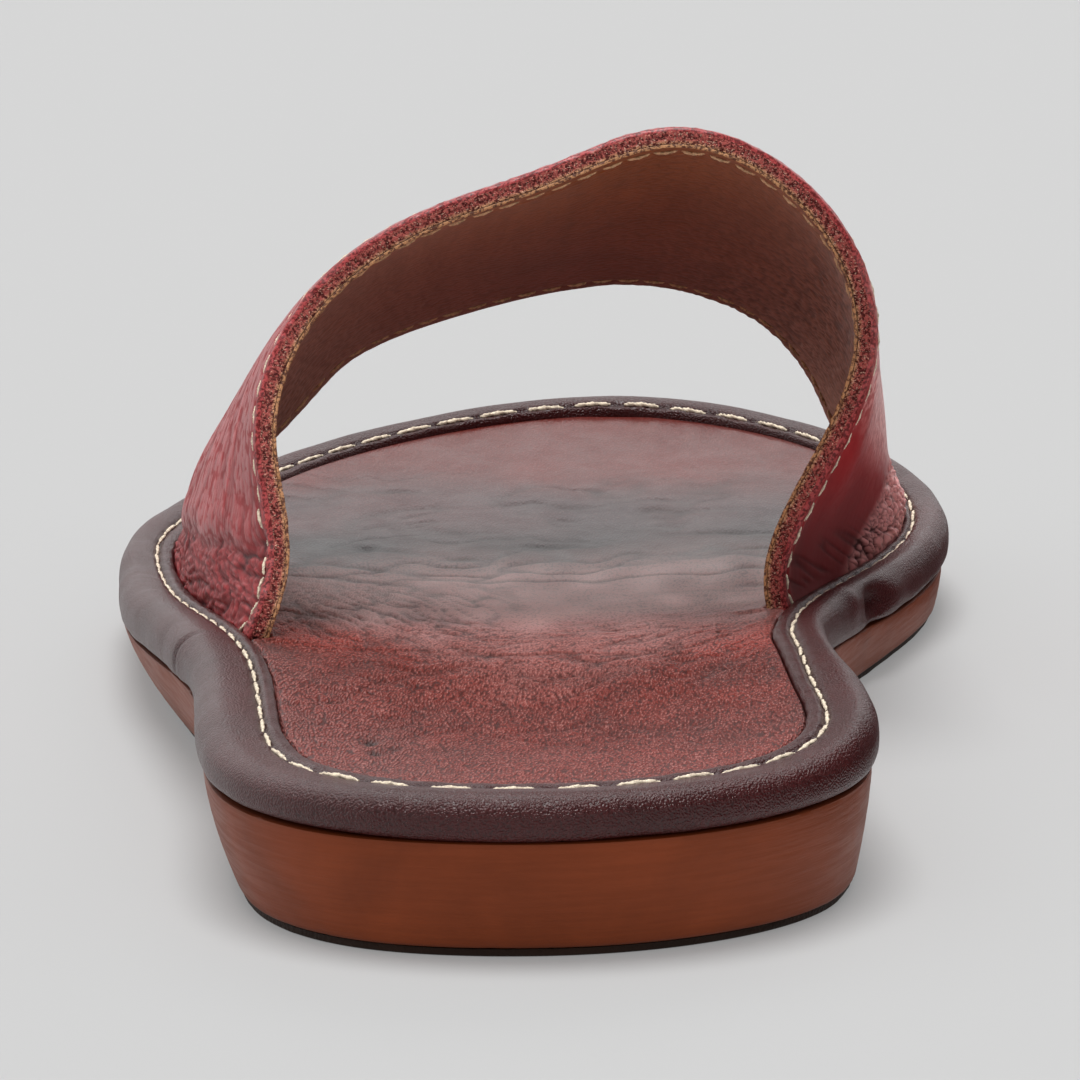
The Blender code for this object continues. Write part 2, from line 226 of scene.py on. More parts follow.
# ---------------------------------------------------------------- curves
def spline_through(points, closed=False, start=None, end=None):
    """A function from 0..1 to the smooth curve through the points, even in chord length."""
    knots = np.array(points, float)
    if closed:
        knots = np.vstack([knots[-3:], knots, knots[:4]])
    step = np.linalg.norm(np.diff(knots, axis=0), axis=1)
    at = np.concatenate([[0.0], np.cumsum(step)])
    count = len(knots)
    system = np.zeros((count, count))
    right = np.zeros(knots.shape)
    for i in range(1, count - 1):
        system[i, i - 1] = step[i - 1]
        system[i, i] = 2 * (step[i - 1] + step[i])
        system[i, i + 1] = step[i]
        right[i] = 6 * ((knots[i + 1] - knots[i]) / step[i] - (knots[i] - knots[i - 1]) / step[i - 1])
    system[0, 0] = system[-1, -1] = 1.0
    if start is not None:
        system[0, :2] = (2 * step[0], step[0])
        right[0] = 6 * ((knots[1] - knots[0]) / step[0] - np.array(start))
    if end is not None:
        system[-1, -2:] = (step[-1], 2 * step[-1])
        right[-1] = 6 * (np.array(end) - (knots[-1] - knots[-2]) / step[-1])
    bend = np.linalg.solve(system, right)
    first, last = (at[3], at[-4]) if closed else (at[0], at[-1])

    def curve(share):
        s = np.clip(first + np.asarray(share, float) * (last - first), first, last)
        i = np.clip(np.searchsorted(at, s, side="right") - 1, 0, count - 2)
        h = step[i][:, None]
        a = ((at[i + 1] - s) / step[i])[:, None]
        b = 1 - a
        smooth = ((a**3 - a) * bend[i] + (b**3 - b) * bend[i + 1]) * h * h / 6
        return a * knots[i] + b * knots[i + 1] + smooth

    return curve


def run_of(points, axis=0):
    """The distance walked along an axis of a line or grid of points, from its start to each point."""
    steps = np.linalg.norm(np.diff(points, axis=axis), axis=-1)
    return np.insert(np.cumsum(steps, axis=axis), 0, 0.0, axis=axis)


def spread(curve, places, first=0.0, last=1.0):
    """Points on the curve at the given shares of its length."""
    share = np.linspace(first, last, CURVE_SAMPLES)
    run = run_of(curve(share))
    return curve(np.interp(np.asarray(places) * run[-1], run, share))


def bunched(count, reach, gain):
    """count shares from 0 to 1 that lie closer together near both ends."""
    fine = np.linspace(0, 1, BUNCHING_SAMPLES)
    density = 1 + gain * (np.exp(-((fine / reach) ** 2)) + np.exp(-(((1 - fine) / reach) ** 2)))
    total = np.concatenate([[0.0], np.cumsum(density[1:] + density[:-1])])
    return np.interp(np.linspace(0, total[-1], count), total, fine)


def eased(value, low, high):
    """0 below low, 1 above high, and a smooth step between."""
    t = np.clip((np.asarray(value, float) - low) / (high - low), 0.0, 1.0)
    return t * t * (3 - 2 * t)


def bell(value, middle, span):
    """1 at the middle, falling smoothly to nothing about two spans away."""
    return np.exp(-(((value - middle) / span) ** 2))


def smooth_table(table, at, column):
    """The table's column at a place along the foot, with a smooth step from each row to the next."""
    rows = np.array(table)
    place = np.interp(at, rows[:, 0], np.arange(len(rows)))
    row = np.clip(np.floor(place).astype(int), 0, len(rows) - 2)
    return rows[row, column] + (rows[row + 1, column] - rows[row, column]) * eased(place - row, 0.0, 1.0)


def turned(first, second, degrees):
    """Two coordinates measured along axes that are turned by an angle."""
    angle = math.radians(degrees)
    cosine, sine = math.cos(angle), math.sin(angle)
    return first * cosine + second * sine, second * cosine - first * sine


def rounded_off(distance, radius):
    """How far a rounded edge falls back at a distance from its corner."""
    return radius - np.sqrt(radius * radius - np.clip(radius - distance, 0, radius) ** 2)


# ---------------------------------------------------------------- unevenness, the same on every run
# Large primes spread the numbers of neighbouring cells and seeds far apart.
CELL_PRIMES = (73856093, 19349663, 83492791)
SEED_PRIME = 1009
MIXING_PRIME = 1274126177
LOW_BITS = 0xFFFF


def scattered(cells, seed):
    """A repeatable number from 0 to 1 for each cell."""
    x, y, z = (cells[..., axis] for axis in range(3))
    mixed = (x * CELL_PRIMES[0]) ^ (y * CELL_PRIMES[1]) ^ ((z + seed * SEED_PRIME) * CELL_PRIMES[2])
    mixed = (mixed ^ (mixed >> 13)) * MIXING_PRIME
    return ((mixed ^ (mixed >> 16)) & LOW_BITS) / LOW_BITS


def rolling(points, seed=0):
    """Smooth noise from -1 to 1, about one bump for each unit."""
    base = np.floor(points).astype(np.int64)
    part = points - base
    ease = part * part * (3 - 2 * part)
    total = np.zeros(points.shape[:-1])
    for corner in np.ndindex(2, 2, 2):
        weight = np.prod(np.where(corner, ease, 1 - ease), axis=-1)
        total += weight * scattered(base + np.array(corner), seed)
    return 2 * total - 1


def rough(points, seed=0, layers=3):
    """Rolling noise with finer and fainter layers on it."""
    total, part = 0.0, 1.0
    for layer in range(layers):
        total = total + part * rolling(points * 2**layer, seed + layer)
        part *= 0.5
    return total


def ridged(points, seed=0):
    """0 on winding lines and 1 between them."""
    return np.clip(np.abs(rough(points, seed, 2)) * 2.2, 0, 1)


def pebbled(points, seed=0):
    """0 along the borders of scattered cells, rising to 1 inside them. The third coordinate is left out."""
    base = np.floor(points).astype(np.int64)
    base[..., 2] = 0
    near = np.full(points.shape[:-1], np.inf)
    second = near.copy()
    for step in np.ndindex(3, 3):
        cell = base + np.array((*step, 1)) - 1
        dx = cell[..., 0] + scattered(cell, seed) - points[..., 0]
        dy = cell[..., 1] + scattered(cell, seed + 7) - points[..., 1]
        far = np.hypot(dx, dy)
        second = np.minimum(second, np.maximum(near, far))
        near = np.minimum(near, far)
    return 1 - (1 - np.clip((second - near) * 1.5, 0, 1)) ** 2


def stacked(*parts):
    """Points whose coordinates are the parts. A plain number stands for one that is even all over."""
    return np.stack(np.broadcast_arrays(*parts), axis=-1).astype(float)


def lines_in(across_lines, along_lines, seed):
    """1 on winding lines and 0 between them, in units of the lines' spacing and of their length."""
    return (1 - ridged(stacked(across_lines, along_lines, 0), seed)) ** 2


# ---------------------------------------------------------------- the outline and its heights
def outline_points():
    """The rim's outside: up the lateral side from the heel's back to the toe, and down the medial side."""
    lateral = [(-row[1], row[0]) for row in OUTLINE]
    medial = [(row[2], row[0]) for row in reversed(OUTLINE)]
    curve = spline_through(
        [(HEEL_BACK_SHIFT, 0.0), *lateral, (TOE_TIP_SHIFT, LENGTH), *medial], closed=True
    )
    share = np.linspace(0, 1, OUTLINE_SAMPLES)
    toe = share[np.argmax(curve(share)[:, 1])]
    places = np.linspace(0, 1, OUTLINE_STEPS + 1)
    return np.vstack([spread(curve, places, 0.0, toe)[:-1], spread(curve, places, toe, 1.0)[:-1]])


OUTSIDE = outline_points()
AHEAD = np.roll(OUTSIDE, -1, axis=0) - np.roll(OUTSIDE, 1, axis=0)
AHEAD /= np.linalg.norm(AHEAD, axis=1)[:, None]
INWARDS = np.column_stack([AHEAD[:, 1], -AHEAD[:, 0]])
ALONG = OUTSIDE[:, 1]
IS_LATERAL = np.arange(len(OUTSIDE)) <= OUTLINE_STEPS
PERIMETER = run_of(np.vstack([OUTSIDE, OUTSIDE[:1]]))
ROUND = PERIMETER[:-1]  # the distance walked round the outline to each of its points
ROLL, JOINT, FOOT = (
    np.where(
        IS_LATERAL,
        smooth_table(EDGES["lateral"], ALONG, column),
        smooth_table(EDGES["medial"], ALONG, column),
    )
    for column in (1, 2, 3)
)

# The last's own axes start at the heel's back, and the frame's under the middle of the sole.
RIM_LOW, RIM_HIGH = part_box("rim")
ORIGIN = np.array((
    (OUTSIDE[:, 0].min() + OUTSIDE[:, 0].max()) / 2 - (RIM_LOW.x + RIM_HIGH.x) / 2 / MM,
    -RIM_LOW.y / MM,
    0.0,
))


def inset_by(distance):
    """The outline moved inwards, by one distance or by one for each point."""
    return OUTSIDE + INWARDS * np.broadcast_to(distance, ALONG.shape)[:, None]


def sole_underside(along):
    past = np.clip((np.asarray(along, float) - SPRING_START) / (LENGTH - SPRING_START), 0.0, 1.1)
    return TOE_SPRING * past**2


def midsole_top(along):
    wedge = eased(along, WEDGE_START, WEDGE_END)
    return HEEL_STACK - (HEEL_STACK - FOREFOOT_STACK) * wedge + sole_underside(along)


def rim_height(along, column):
    return smooth_table(RIM_HEIGHTS, along, column)


def place_round(side, along):
    """The distance round the outline at which it passes a place along the foot, on one side."""
    half = slice(0, OUTLINE_STEPS + 1) if side == "lateral" else slice(OUTLINE_STEPS, len(ALONG))
    order = np.argsort(ALONG[half])
    return float(np.interp(along, ALONG[half][order], ROUND[half][order]))


def round_from(place):
    """How far each outline point lies past a place on the round, the short way."""
    return (ROUND - place + PERIMETER[-1] / 2) % PERIMETER[-1] - PERIMETER[-1] / 2


# ---------------------------------------------------------------- meshes
def new_object(name, data):
    """An object for a mesh, a light or a camera, linked to the scene."""
    thing = bpy.data.objects.new(name, data)
    bpy.context.scene.collection.objects.link(thing)
    return thing


def in_metres(points):
    """Points in millimetres on the last, as a list of points in metres in the frame."""
    return ((np.asarray(points, float).reshape(-1, 3) - ORIGIN) * MM).tolist()


def outward(grid, closed):
    """Unit normals of a grid of points whose first axis may be closed. The second axis is to its left."""
    if closed:
        first = np.roll(grid, -1, axis=0) - np.roll(grid, 1, axis=0)
    else:
        first = np.gradient(grid, axis=0)
    normal = np.cross(first, np.gradient(grid, axis=1))
    return normal / np.maximum(np.linalg.norm(normal, axis=-1), 1e-9)[..., None]


def loft_faces(rows, columns, close_rows=False):
    """Quads over rows of points that are closed rings, numbered row by row."""
    index = np.arange(rows * columns).reshape(rows, columns)
    index = np.hstack([index, index[:, :1]])
    if close_rows:
        index = np.vstack([index, index[:1]])
    quads = np.stack([index[:-1, :-1], index[:-1, 1:], index[1:, 1:], index[1:, :-1]], axis=-1)
    return quads.reshape(-1, 4).tolist()


def capped_loft(rows, columns):
    """The same quads, and then a face over the first ring and one over the last."""
    faces = loft_faces(rows, columns)
    faces.append(list(range(columns)))
    faces.append(list(range((rows - 1) * columns, rows * columns))[::-1])
    return faces


def make_piece(name, node, points, faces, materials, slots=None, fields=None, sharp=None):
    """A finished piece on the root body, in place of a solid. points are in millimetres on the last, fields
    are numbers for each point that the materials read, and slots gives each face its material's place."""
    mesh = bpy.data.meshes.new(name)
    mesh.from_pydata(in_metres(points), [], faces)
    for material in materials:
        mesh.materials.append(material)
    if slots is not None:
        mesh.polygons.foreach_set("material_index", np.asarray(slots, np.int32))
    for field, values in (fields or {}).items():
        store_field(mesh, field, np.asarray(values, np.float32))
    bm = bmesh.new()
    bm.from_mesh(mesh)
    bmesh.ops.recalc_face_normals(bm, faces=bm.faces)
    bm.to_mesh(mesh)
    bm.free()
    mesh.shade_smooth()
    if sharp:
        mesh.set_sharp_from_angle(angle=math.radians(sharp))
    piece = new_object(name, mesh)
    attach(piece, "root")
    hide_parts(node)
    return piece


def store_field(mesh, field, values):
    """Keeps one number or one vector for each of the mesh's points."""
    kind, key = ("FLOAT", "value") if values.ndim == 1 else ("FLOAT_VECTOR", "vector")
    mesh.attributes.new(field, kind, "POINT").data.foreach_set(key, values.ravel())


# ---------------------------------------------------------------- shader nodes
class Graph:
    """Adds nodes to a tree and joins them, so that a material reads from top to bottom."""

    def __init__(self, tree):
        self.tree = tree

    def fill(self, node, inputs):
        """Joins a socket to each input named, or gives the input its plain value."""
        for key, value in inputs.items():
            if isinstance(value, bpy.types.NodeSocket):
                self.tree.links.new(value, node.inputs[key])
            else:
                node.inputs[key].default_value = value
        return node

    def add(self, kind, inputs=None, **settings):
        node = self.tree.nodes.new(kind)
        for name, value in settings.items():
            setattr(node, name, value)
        return self.fill(node, inputs or {})

    def math(self, operation, a, b=0.0, clamp=False):
        return self.add("ShaderNodeMath", {0: a, 1: b}, operation=operation, use_clamp=clamp).outputs[0]

    def times(self, a, b):
        return self.math("MULTIPLY", a, b)

    def plus(self, a, b, clamp=False):
        return self.math("ADD", a, b, clamp)

    def minus(self, a, b):
        return self.math("SUBTRACT", a, b)

    def vector_math(self, operation, a, b):
        return self.add("ShaderNodeVectorMath", {0: a, 1: b}, operation=operation).outputs[0]

    def fade(self, value, low, high, to_low=0.0, to_high=1.0):
        """A smooth step from to_low to to_high as the value goes from low to high."""
        inputs = {"Value": value, "From Min": low, "From Max": high, "To Min": to_low, "To Max": to_high}
        return self.add("ShaderNodeMapRange", inputs, interpolation_type="SMOOTHSTEP").outputs["Result"]

    def mix(self, share, a, b):
        """Colour a where the share is 0 and colour b where it is 1."""
        # The node's colours are its inputs 6 and 7 and its output 2.
        return self.add("ShaderNodeMix", {0: share, 6: a, 7: b}, data_type="RGBA").outputs[2]

    def field(self, name, output="Fac"):
        """A number or vector that the mesh carries for each point."""
        return self.add("ShaderNodeAttribute", attribute_name=name).outputs[output]

    def spot(self):
        """The place on the sandal, in metres."""
        return self.add("ShaderNodeTexCoord").outputs["Object"]

    def axis(self, vector, name):
        return self.add("ShaderNodeSeparateXYZ", {0: vector}).outputs[name]

    def stretched(self, vector, scale):
        return self.add("ShaderNodeMapping", {"Vector": vector, "Scale": scale}).outputs["Vector"]

    def noise(self, vector, scale, detail=3.0, roughness=0.55, distortion=0.0):
        inputs = {
            "Vector": vector,
            "Scale": scale,
            "Detail": detail,
            "Roughness": roughness,
            "Distortion": distortion,
        }
        return self.add("ShaderNodeTexNoise", inputs).outputs["Fac"]

    def group(self, tree, inputs):
        return self.add("ShaderNodeGroup", inputs, node_tree=tree).outputs


def add_inputs(tree, inputs):
    """Named input sockets on a node group, given as (name, socket type, default)."""
    for label, kind, default in inputs:
        socket = tree.interface.new_socket(name=label, in_out="INPUT", socket_type=kind)
        if default is not None:
            socket.default_value = default


def new_group(name, inputs, outputs):
    """A shader node group with inputs as add_inputs takes them, and outputs that are numbers."""
    tree = bpy.data.node_groups.new(name, "ShaderNodeTree")
    add_inputs(tree, inputs)
    for label in outputs:
        tree.interface.new_socket(name=label, in_out="OUTPUT", socket_type="NodeSocketFloat")
    return Graph(tree), tree.nodes.new("NodeGroupInput").outputs, tree.nodes.new("NodeGroupOutput")


def grain_group():
    """Fine rounded leather grain: a height for bump, the pits between the grains, and the grains' tops."""
    graph, given, result = new_group(
        "leather grain",
        (
            ("Vector", "NodeSocketVector", None),
            ("Grains per Metre", "NodeSocketFloat", 1400.0),
            ("Pores", "NodeSocketFloat", 0.3),
        ),
        ("Height", "Pits", "Tops"),
    )
    bent = graph.add("ShaderNodeTexNoise", {"Vector": given["Vector"], "Scale": 300.0, "Detail": 1.0})
    shift = graph.vector_math("MULTIPLY", bent.outputs["Color"], (0.0007, 0.0007, 0.0007))
    place = graph.vector_math("ADD", given["Vector"], shift)
    cells = {"Vector": place, "Scale": given["Grains per Metre"], "Smoothness": 0.6}
    far = graph.add("ShaderNodeTexVoronoi", cells, feature="SMOOTH_F1").outputs["Distance"]
    fine = graph.minus(graph.noise(place, graph.times(given["Grains per Metre"], 1.7), 2.0), 0.5)
    deep = graph.minus(far, graph.times(fine, 0.8))
    graph.fill(result, {
        "Height": graph.plus(graph.fade(far, 0.75, 0.15), graph.times(fine, given["Pores"])),
        "Pits": graph.fade(deep, 0.45, 0.8),
        "Tops": graph.fade(deep, 0.4, 0.1),
    })
    return graph.tree


def mottle_group():
    """Cloudy change of shade, as hand-dyed or rubbed leather has: a share from 0 to 1."""
    graph, given, result = new_group(
        "mottle",
        (("Vector", "NodeSocketVector", None), ("Clouds per Metre", "NodeSocketFloat", 60.0)),
        ("Share",),
    )
    cloud = graph.noise(given["Vector"], given["Clouds per Metre"], 5.0, 0.6, 0.4)
    share = graph.plus(graph.times(graph.minus(cloud, 0.5), 2.2), 0.5, clamp=True)
    graph.fill(result, {"Share": share})
    return graph.tree


def streak_group():
    """Fine lines that run along one way of a surface, for rubbed edges and stretched grain."""
    graph, given, result = new_group(
        "streaks",
        (
            ("Vector", "NodeSocketVector", None),
            ("Stretch", "NodeSocketVector", (1.0, 1.0, 1.0)),
            ("Lines per Metre", "NodeSocketFloat", 900.0),
        ),
        ("Share",),
    )
    place = graph.vector_math("MULTIPLY", given["Vector"], given["Stretch"])
    lines = graph.noise(place, given["Lines per Metre"], 4.0, 0.65, 0.15)
    graph.fill(result, {"Share": graph.fade(lines, 0.3, 0.7)})
    return graph.tree


def shared(name, build):
    """The group's tree, built the first time that it is asked for."""
    return bpy.data.node_groups.get(name) or build()


def grain(graph, vector, per_metre, pores):
    """Leather grain on a material: its height, pits and tops."""
    inputs = {"Vector": vector, "Grains per Metre": per_metre, "Pores": pores}
    return graph.group(shared("leather grain", grain_group), inputs)


def mottle(graph, vector, clouds):
    """Cloudy shade on a material."""
    inputs = {"Vector": vector, "Clouds per Metre": clouds}
    return graph.group(shared("mottle", mottle_group), inputs)["Share"]


def streaks(graph, vector, stretch, lines):
    inputs = {"Vector": vector, "Stretch": stretch, "Lines per Metre": lines}
    return graph.group(shared("streaks", streak_group), inputs)["Share"]


def new_material(name, roughness, **plain):
    """A material with its graph and its Principled shader. plain sets sockets that are even all over."""
    material = bpy.data.materials.new(name)
    material.use_nodes = True
    graph = Graph(material.node_tree)
    shader = material.node_tree.nodes["Principled BSDF"]
    even = {socket.replace("_", " "): value for socket, value in plain.items()}
    graph.fill(shader, {"Roughness": roughness, **even})
    return material, graph, shader


def bump(graph, shader, height, distance, strength=1.0):
    """Raises the surface by the height, which is 0 to 1, times the distance in metres."""
    inputs = {"Height": height, "Distance": distance, "Strength": strength}
    graph.fill(shader, {"Normal": graph.add("ShaderNodeBump", inputs).outputs["Normal"]})


def tint(rgb, gain=1.0):
    """A colour made darker or lighter by the gain."""
    return (*(min(1.0, value * gain) for value in rgb), 1.0)


def own_colours():
    return bpy.context.scene.sandal_colours


def own_sizes():
    return bpy.context.scene.sandal_sizes


# ---------------------------------------------------------------- materials
# What wear and cut fibres show, and the painted shade in creases and hollows, painted highlights, painted
# sheen and painted light, besides the colours that a user sets.
STRAP_CRUMPLE_HIGHLIGHT = (1.0, 0.4, 0.38, 1.0)
STRAP_PAINTED_SHEEN = (0.9, 0.4, 0.38, 1.0)
STRAP_CREASE_SHADE = (0.05, 0.005, 0.007, 1.0)
STRAP_RUBBED = ((0.09, 0.01, 0.01, 1.0), (0.5, 0.08, 0.08, 1.0))
EDGE_DYED = (0.12, 0.014, 0.013, 1.0)
EDGE_FIBRES = ((0.6, 0.13, 0.11, 1.0), (0.92, 0.5, 0.26, 1.0))
EDGE_HAIRS = (1.0, 0.62, 0.46, 1.0)
LINING_FRONT = ((0.28, 0.08, 0.052, 1.0), (0.44, 0.135, 0.09, 1.0))
LINING_LEG = (0.68, 0.34, 0.24, 1.0)
LINING_CREASE_SHADE = (0.06, 0.018, 0.01, 1.0)
LINING_FIBRES = ((0.12, 0.035, 0.018, 1.0), (0.6, 0.29, 0.13, 1.0))
INSOLE_PATINA = (0.034, 0.019, 0.022, 1.0)
INSOLE_DUST_AND_PAINTED_LIGHT = ((0.44, 0.17, 0.15, 1.0), (1.0, 0.66, 0.63, 1.0))
INSOLE_GRAIN_HIGHLIGHT = (0.62, 0.27, 0.235, 1.0)
INSOLE_CREASE_SHADE = (0.025, 0.008, 0.007, 1.0)


def strap_leather():
    """Red grained leather, crumpled at its feet with a painted highlight on the medial crumples, with
    painted shade in its hollows and creases and a painted pink sheen up the medial side, and rubbed at its
    edges.
    """
    material, graph, shader = new_material("strap_leather", 0.4, Specular_IOR_Level=0.35)
    red = own_colours().strap_red
    spot, surface = graph.spot(), graph.field("surface", "Vector")
    crease_shade, shadow, painted_sheen = graph.field("crease_shade"), graph.field("shadow"), graph.field("painted_sheen")
    fine = grain(graph, graph.stretched(surface, (0.0004, 0.0003, 0.001)), 1500.0, 0.4)
    lines = streaks(graph, surface, (0.08, 0.5, 1.0), 1.0)
    base = graph.mix(mottle(graph, spot, 70.0), tint(red, 0.75), tint(red, 1.2))
    # Painted shade: a darker, deeper red where the shadow mask marks the medial hollow and the lateral
    # crumples.
    painted_shade = graph.mix(graph.times(shadow, 0.6), base, tint(red, 0.3))
    # Painted highlight: the medial crumples lightened towards pink.
    crumpled = graph.mix(graph.times(graph.field("crumple_highlight"), 0.85), painted_shade, STRAP_CRUMPLE_HIGHLIGHT)
    # The grain stands out on the lateral side and is smoother from the instep on.
    worked = graph.fade(graph.axis(surface, "X"), 50.0, 110.0, 1.0, 0.15)
    lined = graph.mix(graph.times(lines, graph.times(worked, 0.3)), crumpled, tint(red, 0.5))
    pits = graph.times(fine["Pits"], worked)
    pitted = graph.mix(graph.times(pits, 0.3), lined, tint(red, 0.35))
    mottles = graph.fade(graph.noise(spot, 1000.0, 2.0, 0.5), 0.42, 0.6, 0.35, 1.0)
    # Painted pink sheen, in fine flecks, along the medial side's outline.
    with_sheen = graph.mix(graph.times(painted_sheen, mottles), pitted, STRAP_PAINTED_SHEEN)
    # Painted shade in the creases.
    deep = graph.mix(crease_shade, with_sheen, STRAP_CREASE_SHADE)
    flecks = graph.fade(graph.noise(spot, 2600.0, 2.0, 0.6), 0.4, 0.6)
    rubbed = graph.mix(flecks, *STRAP_RUBBED)
    edged = graph.mix(graph.times(graph.field("worn"), 0.85), deep, rubbed)
    dull = graph.plus(graph.plus(pits, crease_shade), shadow)
    graph.fill(shader, {"Base Color": edged, "Roughness": graph.fade(dull, 0.0, 1.0, 0.32, 0.6)})
    height = graph.plus(fine["Height"], graph.times(lines, -0.7))
    bump(graph, shader, height, 0.0001, graph.plus(worked, painted_sheen))
    return material


def raw_edge():
    """The strap's cut edge: dark red dye over brown fibres, with lighter fibre ends."""
    material, graph, shader = new_material("raw_edge", 0.75, Specular_IOR_Level=0.3)
    spot = graph.spot()
    fibre = graph.noise(spot, 2500.0, 3.0, 0.65)
    hairs = graph.noise(graph.stretched(spot, (1.0, 0.5, 1.6)), 3600.0, 2.0, 0.6)
    light = graph.mix(graph.field("depth"), *EDGE_FIBRES)
    base = graph.mix(graph.fade(fibre, 0.42, 0.58), EDGE_DYED, light)
    speckled = graph.mix(graph.fade(hairs, 0.57, 0.72), base, EDGE_HAIRS)
    graph.fill(shader, {"Base Color": speckled})
    bump(graph, shader, graph.plus(fibre, graph.times(hairs, 0.5)), 0.0007)
    return material


def lining_leather():
    """Smooth tan leather, browner towards the front edge and paler down the legs, with painted shade in its
    wrinkles.
    """
    material, graph, shader = new_material("lining_leather", 0.5, Specular_IOR_Level=0.25)
    tan = own_colours().lining_tan
    spot, surface = graph.spot(), graph.field("surface", "Vector")
    fine = grain(graph, spot, 1100.0, 0.4)
    cloud = mottle(graph, spot, 55.0)
    drawn = streaks(graph, surface, (0.9, 0.05, 1.0), 0.35)
    near = graph.mix(cloud, tint(tan, 0.85), tint(tan, 1.2))
    far = graph.mix(cloud, *LINING_FRONT)
    deep = graph.fade(graph.axis(surface, "Y"), 8.0, 95.0)
    base = graph.mix(graph.field("leg"), graph.mix(deep, near, far), LINING_LEG)
    streaked = graph.mix(graph.times(drawn, 0.25), base, tint(tan, 0.5))
    pitted = graph.mix(graph.times(fine["Pits"], 0.3), streaked, tint(tan, 0.35))
    # Painted shade in the wrinkles.
    graph.fill(shader, {"Base Color": graph.mix(graph.field("crease_shade"), pitted, LINING_CREASE_SHADE)})
    bump(graph, shader, fine["Height"], 0.0001)
    return material


def lining_edge():
    """The lining's cut edge: brown, with lighter fibres."""
    material, graph, shader = new_material("lining_edge", 0.6)
    fibre = graph.noise(graph.spot(), 2300.0, 3.0, 0.7)
    graph.fill(shader, {"Base Color": graph.mix(graph.fade(fibre, 0.42, 0.56), *LINING_FIBRES)})
    bump(graph, shader, fibre, 0.0001)
    return material


def rim_leather():
    """Dark brown leather with a soft gloss, and painted shade in its creases and along its stitched valley.
    """
    material, graph, shader = new_material("rim_leather", 0.4, Specular_IOR_Level=0.5)
    brown = own_colours().rim_brown
    spot = graph.spot()
    fine = grain(graph, spot, 3600.0, 0.6)
    base = graph.mix(mottle(graph, spot, 45.0), tint(brown, 0.8), tint(brown, 1.35))
    pitted = graph.mix(graph.times(fine["Pits"], 0.6), base, tint(brown, 0.3))
    # Painted shade in the creases and the valley.
    crease_shaded = graph.mix(graph.field("crease_shade"), pitted, tint(brown, 0.3))
    gloss = graph.fade(mottle(graph, spot, 130.0), 0.0, 1.0, 0.29, 0.36)
    graph.fill(shader, {"Base Color": crease_shaded, "Roughness": gloss})
    bump(graph, shader, fine["Height"], 0.0001)
    return material


def insole_leather():
    """Red-brown leather: grained under the heel with painted highlights on the grain's tops, dusty and
    lifted by painted light under the arch, dark and polished under the ball, with painted shade in its
    creases.
    """
    material, graph, shader = new_material("insole_leather", 0.42, Specular_IOR_Level=0.42)
    red = own_colours().insole_red
    spot, polish, dust_and_painted_light = graph.spot(), graph.field("polish"), graph.field("dust_and_painted_light")
    fine = grain(graph, graph.stretched(spot, (1.0, 0.28, 1.0)), 3200.0, 0.6)
    base = graph.mix(mottle(graph, spot, 50.0), tint(red, 0.66), tint(red, 1.15))
    front = graph.mix(graph.times(polish, 0.6), base, tint(red, 0.35))
    warm = graph.mix(graph.field("glow"), front, tint(red, 1.5))
    worn = graph.mix(graph.times(graph.field("patina"), 0.9), warm, INSOLE_PATINA)
    # Pale dust, lifted towards a near-white pink as painted light where the strap shades the insole.
    dusty = graph.mix(graph.times(dust_and_painted_light, 0.9), worn, graph.mix(dust_and_painted_light, *INSOLE_DUST_AND_PAINTED_LIGHT))
    # Painted highlights on the grain's tops, fewer where the leather is polished.
    tops = graph.times(fine["Tops"], graph.fade(polish, 0.0, 1.0, 0.5, 0.08))
    grain_highlighted = graph.mix(tops, dusty, INSOLE_GRAIN_HIGHLIGHT)
    filled = graph.fade(graph.math("MAXIMUM", polish, dust_and_painted_light), 0.0, 1.0, 0.85, 0.2)
    pitted = graph.mix(graph.times(fine["Pits"], filled), grain_highlighted, tint(red, 0.15))
    # Painted shade in the creases and wrinkles.
    crease_shaded = graph.mix(graph.field("crease_shade"), pitted, INSOLE_CREASE_SHADE)
    matt = graph.fade(polish, 0.0, 1.0, 0.48, 0.36)
    gloss = graph.plus(matt, graph.fade(mottle(graph, spot, 160.0), 0.0, 1.0, -0.05, 0.05))
    graph.fill(shader, {"Base Color": crease_shaded, "Roughness": gloss})
    bump(graph, shader, fine["Height"], 0.0002, graph.fade(graph.field("calm"), 0.0, 1.0, 1.0, 0.25))
    return material


def burnished_edge():
    """Waxed orange-brown leather layers, darker where the corners are knocked."""
    material, graph, shader = new_material("burnished_edge", 0.45, Specular_IOR_Level=0.2)
    tan = own_colours().midsole_tan
    spot = graph.spot()
    layers = streaks(graph, spot, (0.05, 0.05, 1.0), 1500.0)
    base = graph.mix(mottle(graph, spot, 40.0), tint(tan, 0.75), tint(tan, 1.2))
    streaked = graph.mix(graph.times(layers, 0.2), base, tint(tan, 0.5))
    worn = graph.mix(graph.times(graph.field("edge"), 0.7), streaked, tint(tan, 0.35))
    graph.fill(shader, {"Base Color": worn, "Roughness": graph.fade(layers, 0.0, 1.0, 0.42, 0.52)})
    bump(graph, shader, layers, 0.00003)
    return material


def sole_rubber():
    """Dark rubber with a little dust on it."""
    material, graph, shader = new_material("sole_rubber", 0.7, Specular_IOR_Level=0.25)
    black = own_colours().rubber
    spot = graph.spot()
    dusty = graph.mix(graph.times(mottle(graph, spot, 90.0), 0.4), tint(black), tint(black, 3.0))
    graph.fill(shader, {"Base Color": dusty})
    bump(graph, shader, grain(graph, spot, 1700.0, 0.2)["Height"], 0.00008)
    return material


